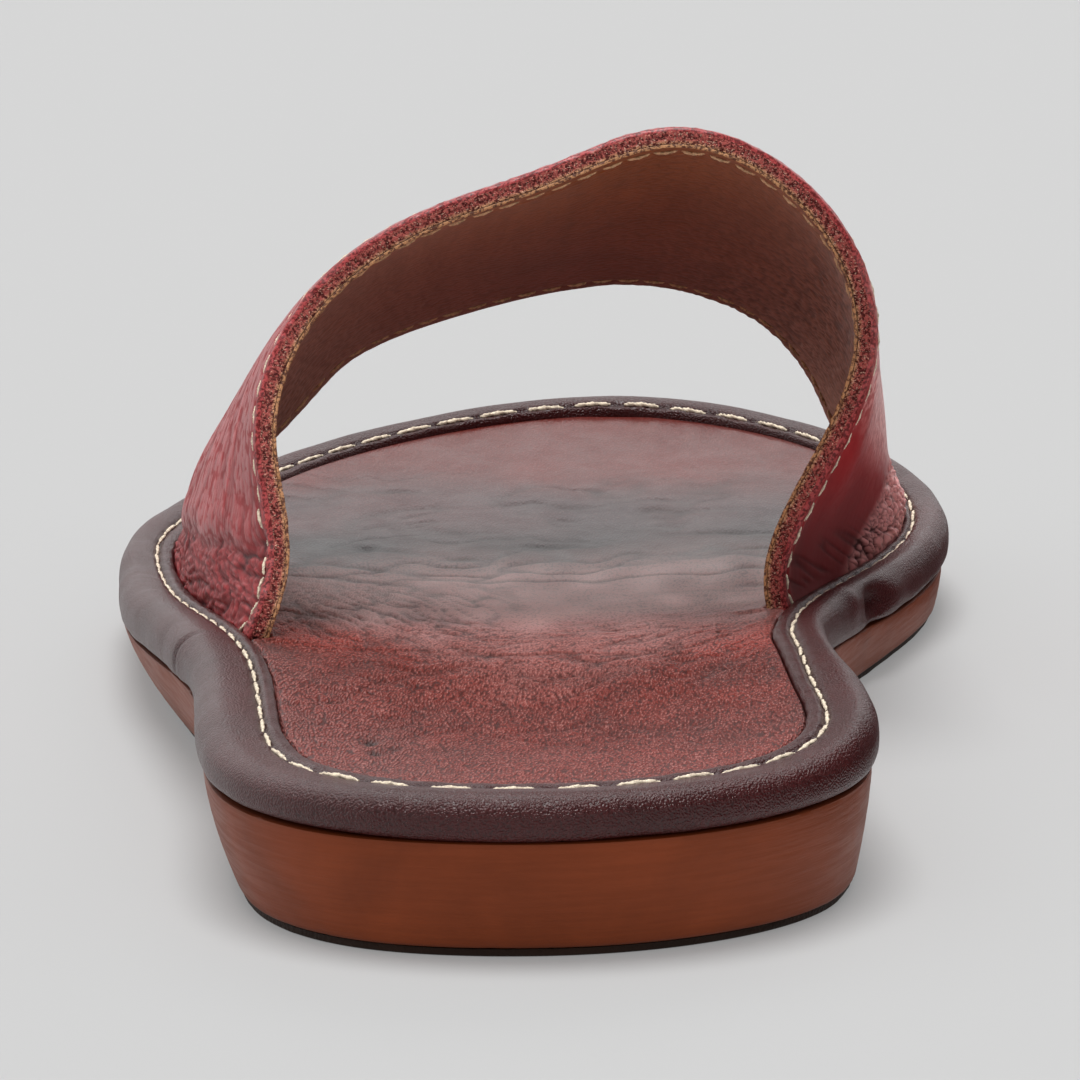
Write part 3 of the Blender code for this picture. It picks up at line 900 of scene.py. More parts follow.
def waxed_thread(name, cream):
    """Thread of fine fibres, darker between them."""
    material, graph, shader = new_material(name, 0.6, Specular_IOR_Level=0.4)
    fibre = graph.noise(graph.spot(), 1900.0, 2.0, 0.6)
    graph.fill(shader, {
        "Base Color": graph.mix(graph.fade(fibre, 0.3, 0.6), tint(cream, 0.65), tint(cream, 1.1)),
    })
    bump(graph, shader, fibre, 0.00006)
    return material


# ---------------------------------------------------------------- stitches
def stitch_turn(graph, given):
    """Each stitch lies along the path and stands on the way it faces, leaning a little and unevenly."""
    tangent = graph.add("GeometryNodeInputTangent").outputs["Tangent"]
    facing = graph.add("GeometryNodeInputNamedAttribute", {"Name": "facing"}, data_type="FLOAT_VECTOR")
    lying = graph.add("FunctionNodeAlignRotationToVector", {"Vector": tangent}, axis="X")
    standing = graph.add(
        "FunctionNodeAlignRotationToVector",
        {"Rotation": lying.outputs["Rotation"], "Vector": facing.outputs["Attribute"]},
        axis="Z", pivot_axis="X",
    )
    # A float Random Value has its lowest and highest number in inputs 2 and 3.
    swing = graph.add(
        "FunctionNodeRandomValue",
        {"Seed": given["Seed"], 2: graph.times(given["Unevenness"], -1.0), 3: given["Unevenness"]},
        data_type="FLOAT",
    )
    yaw = graph.add("ShaderNodeCombineXYZ", {"Z": graph.plus(swing.outputs[1], given["Lean"])})
    euler = graph.add("FunctionNodeEulerToRotation", {0: yaw.outputs[0]})
    turns = {"Rotation": standing.outputs["Rotation"], "Rotate By": euler.outputs[0]}
    return graph.add("FunctionNodeRotateRotation", turns, rotation_space="LOCAL").outputs["Rotation"]


def stitch_thread(graph, given):
    """One stitch: a short arch of twisted thread that thins towards its two holes."""
    half = graph.times(given["Length"], 0.5)
    drop = graph.times(given["Sink"], -1.0)
    start = graph.add("ShaderNodeCombineXYZ", {"X": graph.times(half, -1.0), "Z": drop})
    middle = graph.add("ShaderNodeCombineXYZ", {"Z": given["Sink"]})
    end = graph.add("ShaderNodeCombineXYZ", {"X": half, "Z": drop})
    arc = graph.add(
        "GeometryNodeCurveQuadraticBezier",
        {
            "Resolution": THREAD_STEPS,
            "Start": start.outputs[0],
            "Middle": middle.outputs[0],
            "End": end.outputs[0],
        },
    ).outputs["Curve"]
    walked = graph.add("GeometryNodeSplineParameter").outputs["Factor"]
    twist = {"Curve": arc, "Tilt": graph.times(walked, THREAD_TWIST)}
    from_middle = graph.math("ABSOLUTE", graph.minus(graph.times(walked, 2.0), 1.0))
    thinned = graph.times(graph.math("POWER", from_middle, 4.0), 0.4)
    radius = graph.times(graph.minus(1.0, thinned), graph.times(given["Thickness"], 0.5))
    circle = graph.add(
        "GeometryNodeCurvePrimitiveCircle", {"Resolution": THREAD_SIDES, "Radius": 1.0}, mode="RADIUS"
    )
    oval = graph.add(
        "GeometryNodeTransform", {"Geometry": circle.outputs["Curve"], "Scale": (1.12, 0.82, 1.0)}
    )
    return graph.add(
        "GeometryNodeCurveToMesh",
        {
            "Curve": graph.add("GeometryNodeSetCurveTilt", twist).outputs[0],
            "Profile Curve": oval.outputs[0],
            "Scale": radius,
            "Fill Caps": True,
        },
    ).outputs["Mesh"]


def stitch_scale(graph, given):
    """An uneven size for each stitch, times the stretch that the path asks for."""
    low = graph.minus(1.0, given["Unevenness"])
    high = graph.plus(1.0, given["Unevenness"])
    lowest = graph.add("ShaderNodeCombineXYZ", {0: low, 1: low, 2: low}).outputs[0]
    highest = graph.add("ShaderNodeCombineXYZ", {0: high, 1: high, 2: high}).outputs[0]
    varied = graph.add(
        "FunctionNodeRandomValue", {"Seed": given["Seed"], 0: lowest, 1: highest}, data_type="FLOAT_VECTOR"
    )
    fit = graph.add("GeometryNodeInputNamedAttribute", {"Name": "fit"}, data_type="FLOAT_VECTOR")
    return graph.vector_math("MULTIPLY", varied.outputs[0], fit.outputs["Attribute"])


def stitch_tree():
    """Geometry Nodes: a row of stitches along a path whose points carry the way they face and their fit."""
    tree = bpy.data.node_groups.new("stitch row", "GeometryNodeTree")
    add_inputs(tree, (
        ("Geometry", "NodeSocketGeometry", None),
        ("Pitch", "NodeSocketFloat", 0.003),
        ("Length", "NodeSocketFloat", 0.0024),
        ("Thickness", "NodeSocketFloat", 0.0005),
        ("Sink", "NodeSocketFloat", 0.0004),
        ("Lean", "NodeSocketFloat", 0.0),
        ("Unevenness", "NodeSocketFloat", 0.08),
        ("Seed", "NodeSocketInt", 3),
        ("Material", "NodeSocketMaterial", None),
    ))
    tree.interface.new_socket(name="Geometry", in_out="OUTPUT", socket_type="NodeSocketGeometry")
    graph = Graph(tree)
    given = tree.nodes.new("NodeGroupInput").outputs
    path = graph.add("GeometryNodeMeshToCurve", {"Mesh": given["Geometry"]}).outputs["Curve"]
    spaced = graph.add("GeometryNodeResampleCurve", {"Curve": path, "Length": given["Pitch"]}, mode="LENGTH")
    placed = graph.add(
        "GeometryNodeInstanceOnPoints",
        {
            "Points": spaced.outputs["Curve"],
            "Instance": stitch_thread(graph, given),
            "Rotation": stitch_turn(graph, given),
            "Scale": stitch_scale(graph, given),
        },
    )
    real = graph.add("GeometryNodeRealizeInstances", {"Geometry": placed.outputs["Instances"]})
    smooth = graph.add("GeometryNodeSetShadeSmooth", {"Geometry": real.outputs["Geometry"]})
    dressed = graph.add(
        "GeometryNodeSetMaterial", {"Geometry": smooth.outputs["Geometry"], "Material": given["Material"]}
    )
    graph.fill(tree.nodes.new("NodeGroupOutput"), {"Geometry": dressed.outputs["Geometry"]})
    return tree


def stitch_row(name, points, facing, fit, closed, **inputs):
    """One row of stitches along points in millimetres, each standing on the way it faces. fit stretches the
    stitch at each point along itself, across itself and in height."""
    count = len(points)
    edges = [(i, i + 1) for i in range(count - 1)]
    if closed:
        edges.append((count - 1, 0))
    path = bpy.data.meshes.new(name + "_path")
    path.from_pydata(in_metres(points), edges, [])
    for label, values in (("facing", facing), ("fit", fit)):
        store_field(path, label, np.asarray(values, np.float32))
    carrier = new_object(name + "_path", path)
    tree = bpy.data.node_groups.get("stitch row") or stitch_tree()
    modifier = carrier.modifiers.new("stitches", "NODES")
    modifier.node_group = tree
    for item in tree.interface.items_tree:
        if item.item_type == "SOCKET" and item.in_out == "INPUT" and item.name in inputs:
            modifier[item.identifier] = inputs[item.name]
    evaluated = carrier.evaluated_get(bpy.context.evaluated_depsgraph_get())
    mesh = bpy.data.meshes.new_from_object(evaluated)
    bpy.data.objects.remove(carrier, do_unlink=True)
    mesh.name = name
    piece = new_object(name, mesh)
    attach(piece, "root")
    return piece


# ---------------------------------------------------------------- the rim
RIM_CREASES = (
    # side, along, across the section, half length round, half length across, depth, turn in degrees
    ("lateral", 92.0, 5.0, 1.0, 3.6, 0.6, 20.0),
    ("lateral", 104.0, 6.0, 4.5, 3.4, 0.2, 20.0),
    ("lateral", 122.0, 5.0, 8.0, 3.6, 0.25, 0.0),
    ("medial", 159.0, 3.6, 4.6, 2.3, 2.3, 0.0),
    ("medial", 146.0, 6.2, 3.0, 2.6, -0.5, 0.0),
    ("medial", 118.0, 6.5, 5.0, 3.2, 0.2, 10.0),
)


def rim_rings():
    """The rim's section as closed rings round the sole, the outside's lowest ring first."""
    base = midsole_top(ALONG)
    crest, valley, flange = (rim_height(ALONG, column) for column in (1, 2, 3))
    rings = []
    for degrees in np.linspace(ROLL_START, ROLL_END, ROLL_RINGS):
        angle = math.radians(degrees)
        inwards, up = math.cos(angle), math.sin(angle)
        lift = crest - ROLL_MIDDLE
        if degrees < 0:
            # The roll's underside is pressed flat on the midsole.
            inwards, up = inwards**ROLL_SQUARENESS, -((-up) ** ROLL_SQUARENESS)
            lift = ROLL_MIDDLE - SEAM_GAP
        rings.append((CREST_SHARE * (1 - inwards) * ROLL, ROLL_MIDDLE + lift * up))
    for share in np.linspace(0, 1, FALL_RINGS + 1)[1:]:
        fall = 0.5 * (1 - math.sqrt(1 - share**2)) + 0.5 * share**1.6
        rings.append(((CREST_SHARE + (1 - CREST_SHARE) * share) * ROLL, crest + (valley - crest) * fall))
    wide = JOINT - ROLL
    for share in np.linspace(0, 1, FLANGE_RINGS + 1)[1:]:
        swell = math.sin(math.pi * min(share / 0.8, 1.0)) * 0.18
        drop = 0.5 * (1 - math.sqrt(max(0.0, 1 - max(0.0, (share - 0.75) / 0.25) ** 2)))
        rise = float(eased(share, 0.0, 0.5))
        rings.append((ROLL + share * wide, valley + (flange - valley) * rise + swell - drop))
    rings += [(JOINT, flange - 1.2), (JOINT, 0.5 * flange), (JOINT, SEAM_GAP)]
    return np.stack([np.column_stack([inset_by(inset), base + h]) for inset, h in rings], axis=1)


def rim_dents(section):
    """How far the creases press into the rim, and how deep in a crease each point lies."""
    dents, crease_shade = np.zeros(section.shape), np.zeros(section.shape)
    for side, along, across, reach_round, reach_across, depth, turn in RIM_CREASES:
        past = round_from(place_round(side, along))[:, None]
        lengthwise, crosswise = turned(past, section - across, turn)
        over = bell(crosswise, 0, reach_across)
        shape = bell(lengthwise, 0, reach_round) * over
        ridge = bell(lengthwise, -2.2 * reach_round, 1.4 * reach_round) * over
        dents += -depth * shape + 0.2 * depth * ridge
        crease_shade = np.maximum(crease_shade, np.clip(depth, 0, 1) * shape)
    return dents, crease_shade


def rim_pitch():
    """The distance from one rim stitch to the next, such that a whole number of them goes round."""
    return PERIMETER[-1] / round(PERIMETER[-1] * MM / own_sizes().rim_stitch_pitch)


def rim_surface():
    """The rim's rings with padding, creases and stitched valley, their normals, and each point's shade."""
    grid = rim_rings()
    normal = outward(grid, closed=True)
    if np.sum(normal[:, ROLL_RINGS // 2, :2] * INWARDS) > 0:
        normal = -normal
    section = run_of(grid, axis=1)
    ring = np.arange(grid.shape[1])
    shown = (ring <= FLANGE_RING) * 1.0
    on_roll = 1 - eased(ring, ROLL_RINGS + 4, VALLEY_RING)
    x, y, z = (grid[..., axis] for axis in range(3))
    lumps = 0.28 * rolling(stacked(x / 24, y / 24, 0), 3) * on_roll
    lumps += 0.10 * rolling(stacked(x / 7, y / 7, section / 8), 5) * on_roll
    fine = 0.01 * rough(stacked(x / 1.9, y / 1.9, z / 1.9), 11)
    dents, crease_shade = rim_dents(section)

    # The thread pulls the valley down along each stitch, and the leather swells in the gap between two.
    beat = 0.5 + 0.5 * np.cos(2 * math.pi * ROUND[:, None] / rim_pitch())
    from_valley = section - section[:, VALLEY_RING][:, None]
    groove = -0.26 * bell(from_valley, 0.0, 0.5) + 0.14 * beat * bell(from_valley, 0.0, 0.9)
    holes = -0.2 * bell(from_valley, 0, 0.5) * eased(beat, 0.45, 0.6) * (1 - eased(beat, 0.75, 0.9))
    scallop = 0.14 * (beat - 0.5) * bell(from_valley, 1.6, 1.0)
    moved = (lumps + fine + dents + groove + holes + scallop) * shown
    surface = grid + normal * moved[..., None]
    # The flange's free edge wavers a little in plan.
    waver = 0.16 * (beat - 0.5) + 0.12 * rolling(stacked(ROUND / 9, 0, 0), 9)[:, None]
    near_edge = eased(ring, VALLEY_RING + 4, FLANGE_RING) * shown
    surface[..., :2] -= INWARDS[:, None] * (waver * near_edge)[..., None]
    # Painted shade in the creases and along the stitched valley.
    shade = np.clip(np.maximum(crease_shade * 0.6, 0.55 * bell(from_valley, 0.0, 0.5)), 0, 1) * shown
    return surface, normal, shade


def make_rim():
    """The rim's leather, rolled over its cord."""
    surface, _, shade = rim_surface()
    rows, columns = surface.shape[:2]
    faces = loft_faces(rows, columns, close_rows=True)
    fields = {"crease_shade": shade.ravel()}
    piece = make_piece("rim_roll", "rim", surface, faces, [rim_leather()], fields=fields)


def make_rim_stitches():
    """The seam that holds the rim down, all round the sole."""
    sizes = own_sizes()
    surface, normal, _ = rim_surface()
    # The first stitch's middle lies half a pitch round, where the valley is deepest.
    start = int(np.searchsorted(ROUND, rim_pitch() / 2))
    path = np.roll(surface[:, VALLEY_RING], -start, axis=0)
    path[:, 2] += RIM_THREAD_LIFT
    facing = np.roll(normal[:, VALLEY_RING], -start, axis=0)
    facing = facing * 0.3 + np.array((0, 0, 1.0))
    facing /= np.linalg.norm(facing, axis=1)[:, None]
    # Along the sides of the foot the stitches are longer and thinner than round the heel and the toe.
    side = np.roll(np.abs(AHEAD[:, 1]) ** 2, -start)
    fit = stacked(0.92 + 0.24 * side, 1.0 - 0.25 * side, 1.0 - 0.25 * side)
    stitch_row(
        "rim_stitches", path, facing, fit, closed=True,
        Material=waxed_thread("rim_thread", own_colours().thread), Pitch=rim_pitch() * MM,
        Length=sizes.rim_stitch_length, Thickness=sizes.rim_thread, Sink=0.0002,
        Lean=0.0, Unevenness=0.06, Seed=4,
    )


# ---------------------------------------------------------------- the strap
# Points and their outward normals, the way to the front edge, the distance from the rear edge, and the
# distance round the instep from the lateral foot. Rows go round the instep, and columns to the front edge.
StrapForm = namedtuple("StrapForm", "points normal forward width climb")


def joint_point(side, along):
    """Where the strap's outer face passes between rim and insole, as (across, along)."""
    line = inset_by(JOINT + SEAM_GAP)
    half = line[: OUTLINE_STEPS + 1] if side == "lateral" else line[OUTLINE_STEPS:][::-1]
    return np.array([np.interp(along, half[:, 1], half[:, 0]), along])


def between_rows(values, share):
    """The smooth curve through the three rows' values, at a share of the way from rear to front."""
    rear, middle, front = (np.array(value, float) for value in values)
    bulge = 4 * (middle - (rear + front) / 2)
    return rear + (front - rear) * share + bulge * share * (1 - share)


def strap_section(share, places):
    """One line of the strap's outer face over the instep, at shares of its length between the two feet."""
    lateral_along, ridge_along, medial_along = (
        between_rows([row[column] for row in STRAP_ROWS], share) for column in (1, 2, 3)
    )
    upper = [between_rows([row[column] for row in STRAP_ROWS], share) for column in range(4, 13)]
    feet = []
    for side, along in (("lateral", lateral_along), ("medial", medial_along)):
        feet.append((*joint_point(side, along), float(midsole_top(along) + rim_height(along, 2))))
    ridge = upper[RIDGE]
    knots = [feet[0]]
    for k, (across, height) in enumerate(upper):
        foot = feet[0] if k <= RIDGE else feet[1]
        climbed = (height - foot[2]) / (ridge[1] - foot[2])
        knots.append((across, foot[1] + (ridge_along - foot[1]) * climbed, height))
    knots.append(feet[1])
    leans = [between_rows([row[side] for row in STRAP_LEANS], share) for side in (0, 1)]
    return spread(spline_through(knots, start=(leans[0], 0, 1), end=(leans[1], 0, -1)), places)


def with_legs(arch):
    """The strap's lines carried down into the slots between rim and insole."""
    depth = rim_height(arch[[0, -1], :, 1], 2) - SEAM_GAP
    lateral = [arch[0] - stacked(0, 0, depth[0] * step) for step in LEG_STEPS]
    medial = [arch[-1] - stacked(0, 0, depth[1] * step) for step in reversed(LEG_STEPS)]
    return np.concatenate([np.stack(lateral), arch, np.stack(medial)])


def strap_form():
    """The strap's outer face before any crease."""
    shares = bunched(STRAP_LINES, 0.02, 1.6)
    places = bunched(STRAP_ROUND - 2 * len(LEG_STEPS), 0.11, 2.2)
    points = with_legs(np.stack([strap_section(share, places) for share in shares], axis=1))
    normal = outward(points, closed=False)
    if normal[normal.shape[0] // 2, normal.shape[1] // 2, 2] < 0:
        normal = -normal
    forward = np.gradient(points, axis=1)
    forward /= np.linalg.norm(forward, axis=-1)[..., None]
    climb = run_of(points, axis=0)
    climb -= climb[len(LEG_STEPS)]
    return StrapForm(points, normal, forward, run_of(points, axis=1), climb)


def round_the_instep(form):
    """For each line of the strap, the distance from its lateral to its medial foot."""
    return form.climb[-1 - len(LEG_STEPS)]


def foot_crumples(form):
    """Where the strap is crumpled just above the rim, on its lateral and on its medial side, and how high
    above the rim the lateral crumples end."""
    width, climb = form.width, form.climb
    total = round_the_instep(form)
    share = width / width[:, -1:]
    free = eased(np.minimum(climb, total - climb), -2.0, 1.0)
    sway = rolling(stacked(width / 11, climb / 9, 0), 21)
    # They are high at the rear of the lateral side and at the front of the medial side.
    lateral_top = 13.0 - 10.5 * share + 1.6 * sway
    medial_top = -2.0 + 14.0 * eased(share, 0.3, 0.6) + 1.2 * sway
    low_lateral, low_medial = np.clip(climb, 0, None), np.clip(total - climb, 0, None)
    lateral = (1 - eased(low_lateral, lateral_top - 2.5, lateral_top + 1.5)) * free
    medial = (1 - eased(low_medial, medial_top - 2.5, medial_top + 2.5)) * free
    return lateral, medial, lateral_top


def crumple_shapes(width, climb):
    """Folds and pebbles of crumpled leather, each 0 in its creases, and fine unevenness, on a bent grid."""
    bent = stacked(
        width + 2.4 * rolling(stacked(width / 7, climb / 3.5, 0), 22),
        climb + 1.1 * rolling(stacked(width / 7, climb / 3.5, 0), 23),
        0,
    )
    folds = ridged(bent * np.array((1 / 7.0, 1 / 2.2, 1)), 5)
    pebbles = pebbled(bent * np.array((1 / 3.0, 1 / 0.95, 1)), 6)
    return folds, pebbles, rough(bent * np.array((0.5, 1.6, 1)), 8)


def foot_wrinkles(width, climb, low_lateral, low_medial, lateral_top):
    """Fine wrinkles that run up from the lateral crumples, and others along the medial foot."""
    share = width / width[:, -1:]
    up_wander = 0.6 * rolling(stacked(width / 12, climb / 12, 0), 31)
    up = lines_in(width / 2.6 + up_wander, climb / 24, 33)
    up *= eased(low_lateral, lateral_top - 3, lateral_top + 3) * (1 - eased(low_lateral, 26.0, 58.0))
    level_wander = 0.25 * rolling(stacked(width / 14, climb / 5, 0), 35)
    level = lines_in(climb / 1.5 + level_wander, width / 40, 37)
    level *= eased(low_medial, 0.5, 2.0) * (1 - eased(low_medial, 4.0, 9.0)) * (1 - eased(share, 0.5, 0.75))
    return up, level


def strap_relief(form, lateral, medial, lateral_top):
    """How far creases and crumples move the outer face, and how much painted shade each point gets: by how
    deep in a crease it lies, under the lateral crumples' bulge and low on the medial foot.
    """
    width, climb = form.width, form.climb
    total = round_the_instep(form)
    share = width / width[:, -1:]
    low_lateral, low_medial = np.clip(climb, 0, None), np.clip(total - climb, 0, None)
    crumpled = np.maximum(lateral, medial)
    folds, pebbles, fine = crumple_shapes(width, climb)
    relief = crumpled * (0.42 * (folds - 0.6) + 0.2 * (pebbles - 0.7) + 0.15 * fine)
    # The lateral crumples end under a soft bulge.
    relief += 0.4 * bell(low_lateral, lateral_top + 2.0, 2.2)
    relief -= 0.45 * bell(low_lateral, lateral_top - 1.0, 1.0)

    up, level = foot_wrinkles(width, climb, low_lateral, low_medial, lateral_top)
    relief -= 0.13 * up + 0.16 * level

    # Broad unevenness, the hollow behind the medial seam, and the medial foot's front flared over the rim.
    free = eased(np.minimum(climb, total - climb), -2.0, 1.0)
    relief += 0.4 * rolling(stacked(width / 26, climb / 30, 0), 41) * free
    relief -= 1.4 * bell(width, 9.5, 5.0) * bell(low_medial, 22.0, 13.0)
    relief += 0.5 * bell(low_medial, 3.0, 3.5) * eased(share, 0.45, 0.75)

    # Painted shade in the creases, low on the medial foot and in the line under the lateral bulge.
    crease_shade = crumpled * (np.clip(0.5 - folds, 0, 1) + 0.8 * np.clip(0.7 - pebbles, 0, 1))
    crease_shade += 0.4 * up + 0.4 * level
    crease_shade += 0.4 * bell(low_medial, 5.0, 9.0) * (1 - eased(share, 0.45, 0.7))
    crease_shade += 0.5 * bell(low_lateral, lateral_top - 1.5, 1.3) * np.clip(1.4 - 1.4 * folds, 0, 1)
    edge = np.minimum(width, width[:, -1:] - width)
    return relief * eased(edge, -0.5, 2.5), np.clip(crease_shade, 0, 1)


def both_edges(form):
    """Each point's distance from the rear edge, and from the front edge."""
    return form.width, form.width[:, -1:] - form.width


def seam_inset(form):
    """How far a seam lies from the strap's edge: it runs outwards near the feet and back at the slots."""
    low = np.minimum(form.climb, round_the_instep(form) - form.climb)
    return own_sizes().strap_stitch_inset / MM - 0.9 * bell(low, 9.0, 6.0) + 2.2 * bell(low, -1.5, 3.5)


def thread_beat(form):
    """A wave from 0 to 1 round the instep, with the pitch of the strap's stitches."""
    return 0.5 + 0.5 * np.cos(2 * math.pi * form.climb / (own_sizes().strap_stitch_pitch / MM))


def sewn_down(form, relief, crease_shade):
    """The relief with both seams pulled in and both edges scuffed and turned over, and the painted crease
    shade with painted shade added along both seams' grooves.
    """
    beat, seam = thread_beat(form), seam_inset(form)
    scuffed = rough(stacked(form.climb / 0.9, form.width / 1.1, 0), 57, 2)
    for from_edge in both_edges(form):
        off = from_edge - seam
        relief = relief - 0.32 * bell(off, 0, 0.6) * (1 - 0.4 * beat)
        relief = relief + 0.16 * bell(off, -0.5 * seam, 0.4 * seam) + 0.08 * bell(off, 1.5, 0.9)
        relief = relief + 0.1 * scuffed * bell(from_edge, 0.9, 1.0) - rounded_off(from_edge, STRAP_EDGE_TURN)
        # Painted shade along the seam's groove.
        crease_shade = np.maximum(crease_shade, 0.45 * bell(off, 0, 0.4))
    return relief, crease_shade


def edge_sway(form):
    """How far the rear edge is drawn in by its thread, and how far the front edge ripples."""
    from_rear, from_front = both_edges(form)
    waver = 0.22 * rolling(stacked(form.climb / 8, 0, 0), 51) + 0.12 * (thread_beat(form) - 0.5)
    ripple = 0.3 * rolling(stacked(form.climb / 4.2, 3, 0), 53)
    sway = waver * bell(from_rear, 0, 5.0) + ripple * bell(from_front, 0, 4.0)
    return sway * eased(np.minimum(form.climb, round_the_instep(form) - form.climb), 0.0, 4.0)


def strap_shades(form, lateral, medial):
    """A painted pink sheen that climbs the medial side slantwise near its outline, and painted shade in the
    hollow behind it and on the lateral crumples.
    """
    width, climb = form.width, form.climb
    low_medial = round_the_instep(form) - climb
    # The painted sheen follows the medial side's outline as it climbs.
    past_band = width / width[:, -1:] - (1.05 - 0.0255 * low_medial)
    painted_sheen = eased(past_band, -0.36, -0.08) * (1 - eased(past_band, 0.1, 0.3)) * eased(low_medial, 10, 20)
    # Painted shade in the hollow behind the medial seam and low on the medial side, lighter just behind the
    # seam and none on the highlighted medial crumples.
    shadow = eased(width, 3.0, 9.0) * (1 - eased(past_band, -0.42, -0.18)) * (1 - eased(low_medial, 26, 44))
    shadow *= 1 - 0.85 * bell(low_medial, 21.0, 9.0) * (1 - eased(width, 16.0, 32.0))
    shadow *= (0.8 + 0.35 * rolling(stacked(climb / 6, width / 14, 0), 44)) * (1 - medial)
    # The lateral crumples get painted shade too.
    return painted_sheen, np.maximum(shadow, 0.4 * lateral)


def strap_layers():
    """The finished outer face, the smooth form that lies under it, and for each point how worn it is and how
    much painted shade, highlight and sheen it gets.
    """
    form = strap_form()
    lateral, medial, lateral_top = foot_crumples(form)
    relief, crease_shade = sewn_down(form, *strap_relief(form, lateral, medial, lateral_top))
    painted_sheen, shadow = strap_shades(form, lateral, medial)
    worn = bell(np.minimum(*both_edges(form)), 0, 1.3)
    sway = form.forward * edge_sway(form)[..., None]
    outer = form.points + form.normal * relief[..., None] + sway
    # Besides the worn edges, these carry painted shade in creases and hollows, a painted highlight on the
    # medial crumples and a painted sheen.
    wear_and_painted_light = {"crease_shade": crease_shade, "crumple_highlight": medial, "worn": worn, "painted_sheen": painted_sheen, "shadow": shadow}
    return outer, form._replace(points=form.points + sway), wear_and_painted_light


def picked_lines(count, columns):
    """Places of count lines among the strap's lines, both edges included."""
    return np.unique(np.linspace(0, columns - 1, count).round().astype(int))


def edge_band(form, front, depths, raggedness, seed, proud=0.0):
    """Rows of points down the strap's front or rear cut edge, from the outer face inwards."""
    edge = -1 if front else 0
    out = form.forward[:, edge] if front else -form.forward[:, edge]
    start = form.points[:, edge] + out * proud
    rows = []
    for depth in depths:
        ragged = raggedness * rough(stacked(form.climb[:, edge] / 0.55, depth / 0.45, 0), seed, 2)
        rows.append(start - form.normal[:, edge] * depth + out * ragged[:, None])
    return np.stack(rows, axis=1)


def face_slots(rows, columns, first, count):
    """0 for the quads of count columns from the first on, and 1 for all others and for the two end faces."""
    column = np.tile(np.arange(columns), rows - 1)
    return np.append(np.where((column >= first) & (column < first + count), 0, 1), [1, 1])


def make_strap_upper():
    """The outer leather: grain face, two raw edges, and the flesh side against the lining."""
    thick = own_sizes().upper_thickness / MM
    outer, form, wear_and_painted_light = strap_layers()
    depths = np.linspace(RAW_EDGE_START, thick - RAW_EDGE_END, RAW_EDGE_LINES)
    front = edge_band(form, True, depths, 0.14, 61)
    rear = edge_band(form, False, depths, 0.14, 62)
    lines = picked_lines(HIDDEN_LINES, outer.shape[1])
    back = (form.points - form.normal * thick)[:, lines]
    grid = np.concatenate([outer, front, back[:, ::-1], rear[:, ::-1]], axis=1)
    rows, columns = grid.shape[:2]
    wide = outer.shape[1]
    into = eased(depths, 0.7 * thick, 1.05 * thick)
    depth = np.concatenate([np.zeros(wide), into, np.ones(len(lines)), into[::-1]])
    pad = [(0, 0), (0, columns - wide)]
    fields = {name: np.pad(share, pad).ravel() for name, share in wear_and_painted_light.items()}
    fields["surface"] = np.pad(stacked(form.climb, form.width, 0), [*pad, (0, 0)]).reshape(-1, 3)
    fields["depth"] = np.broadcast_to(depth, grid.shape[:2]).ravel()
    slots = face_slots(rows, columns, 0, wide - 1)
    leathers = [strap_leather(), raw_edge()]
    make_piece("strap_upper", "strap", grid, capped_loft(rows, columns), leathers, slots, fields)


def lining_face(form, depth):
    """The lining's own face with its seams, wrinkles and broad folds, and how deep in a crease it lies."""
    width, climb = form.width, form.climb
    wander = 0.5 * rolling(stacked(width / 6, climb / 4, 0), 72)
    wrinkle = pebbled(stacked(width / 3.6 + wander, climb / 1.9, 0), 71) - 0.7
    bends = bell(round_the_instep(form) - climb, 40.0, 19.0) + 0.35 * bell(climb, 22.0, 20.0)
    bends = np.clip(bends, 0, 1)
    seam = seam_inset(form)
    pull = sum(0.16 * bell(from_edge - seam, 0, 0.6) for from_edge in both_edges(form))
    broad = 0.3 * rolling(stacked(width / 24, climb / 20, 0), 73)
    broad *= eased(np.minimum(*both_edges(form)), 0, 6)
    raised = pull + broad - 0.2 * wrinkle * bends
    face = form.points - form.normal * depth + form.normal * raised[..., None]
    return face, np.clip(-wrinkle * bends, 0, 0.7)


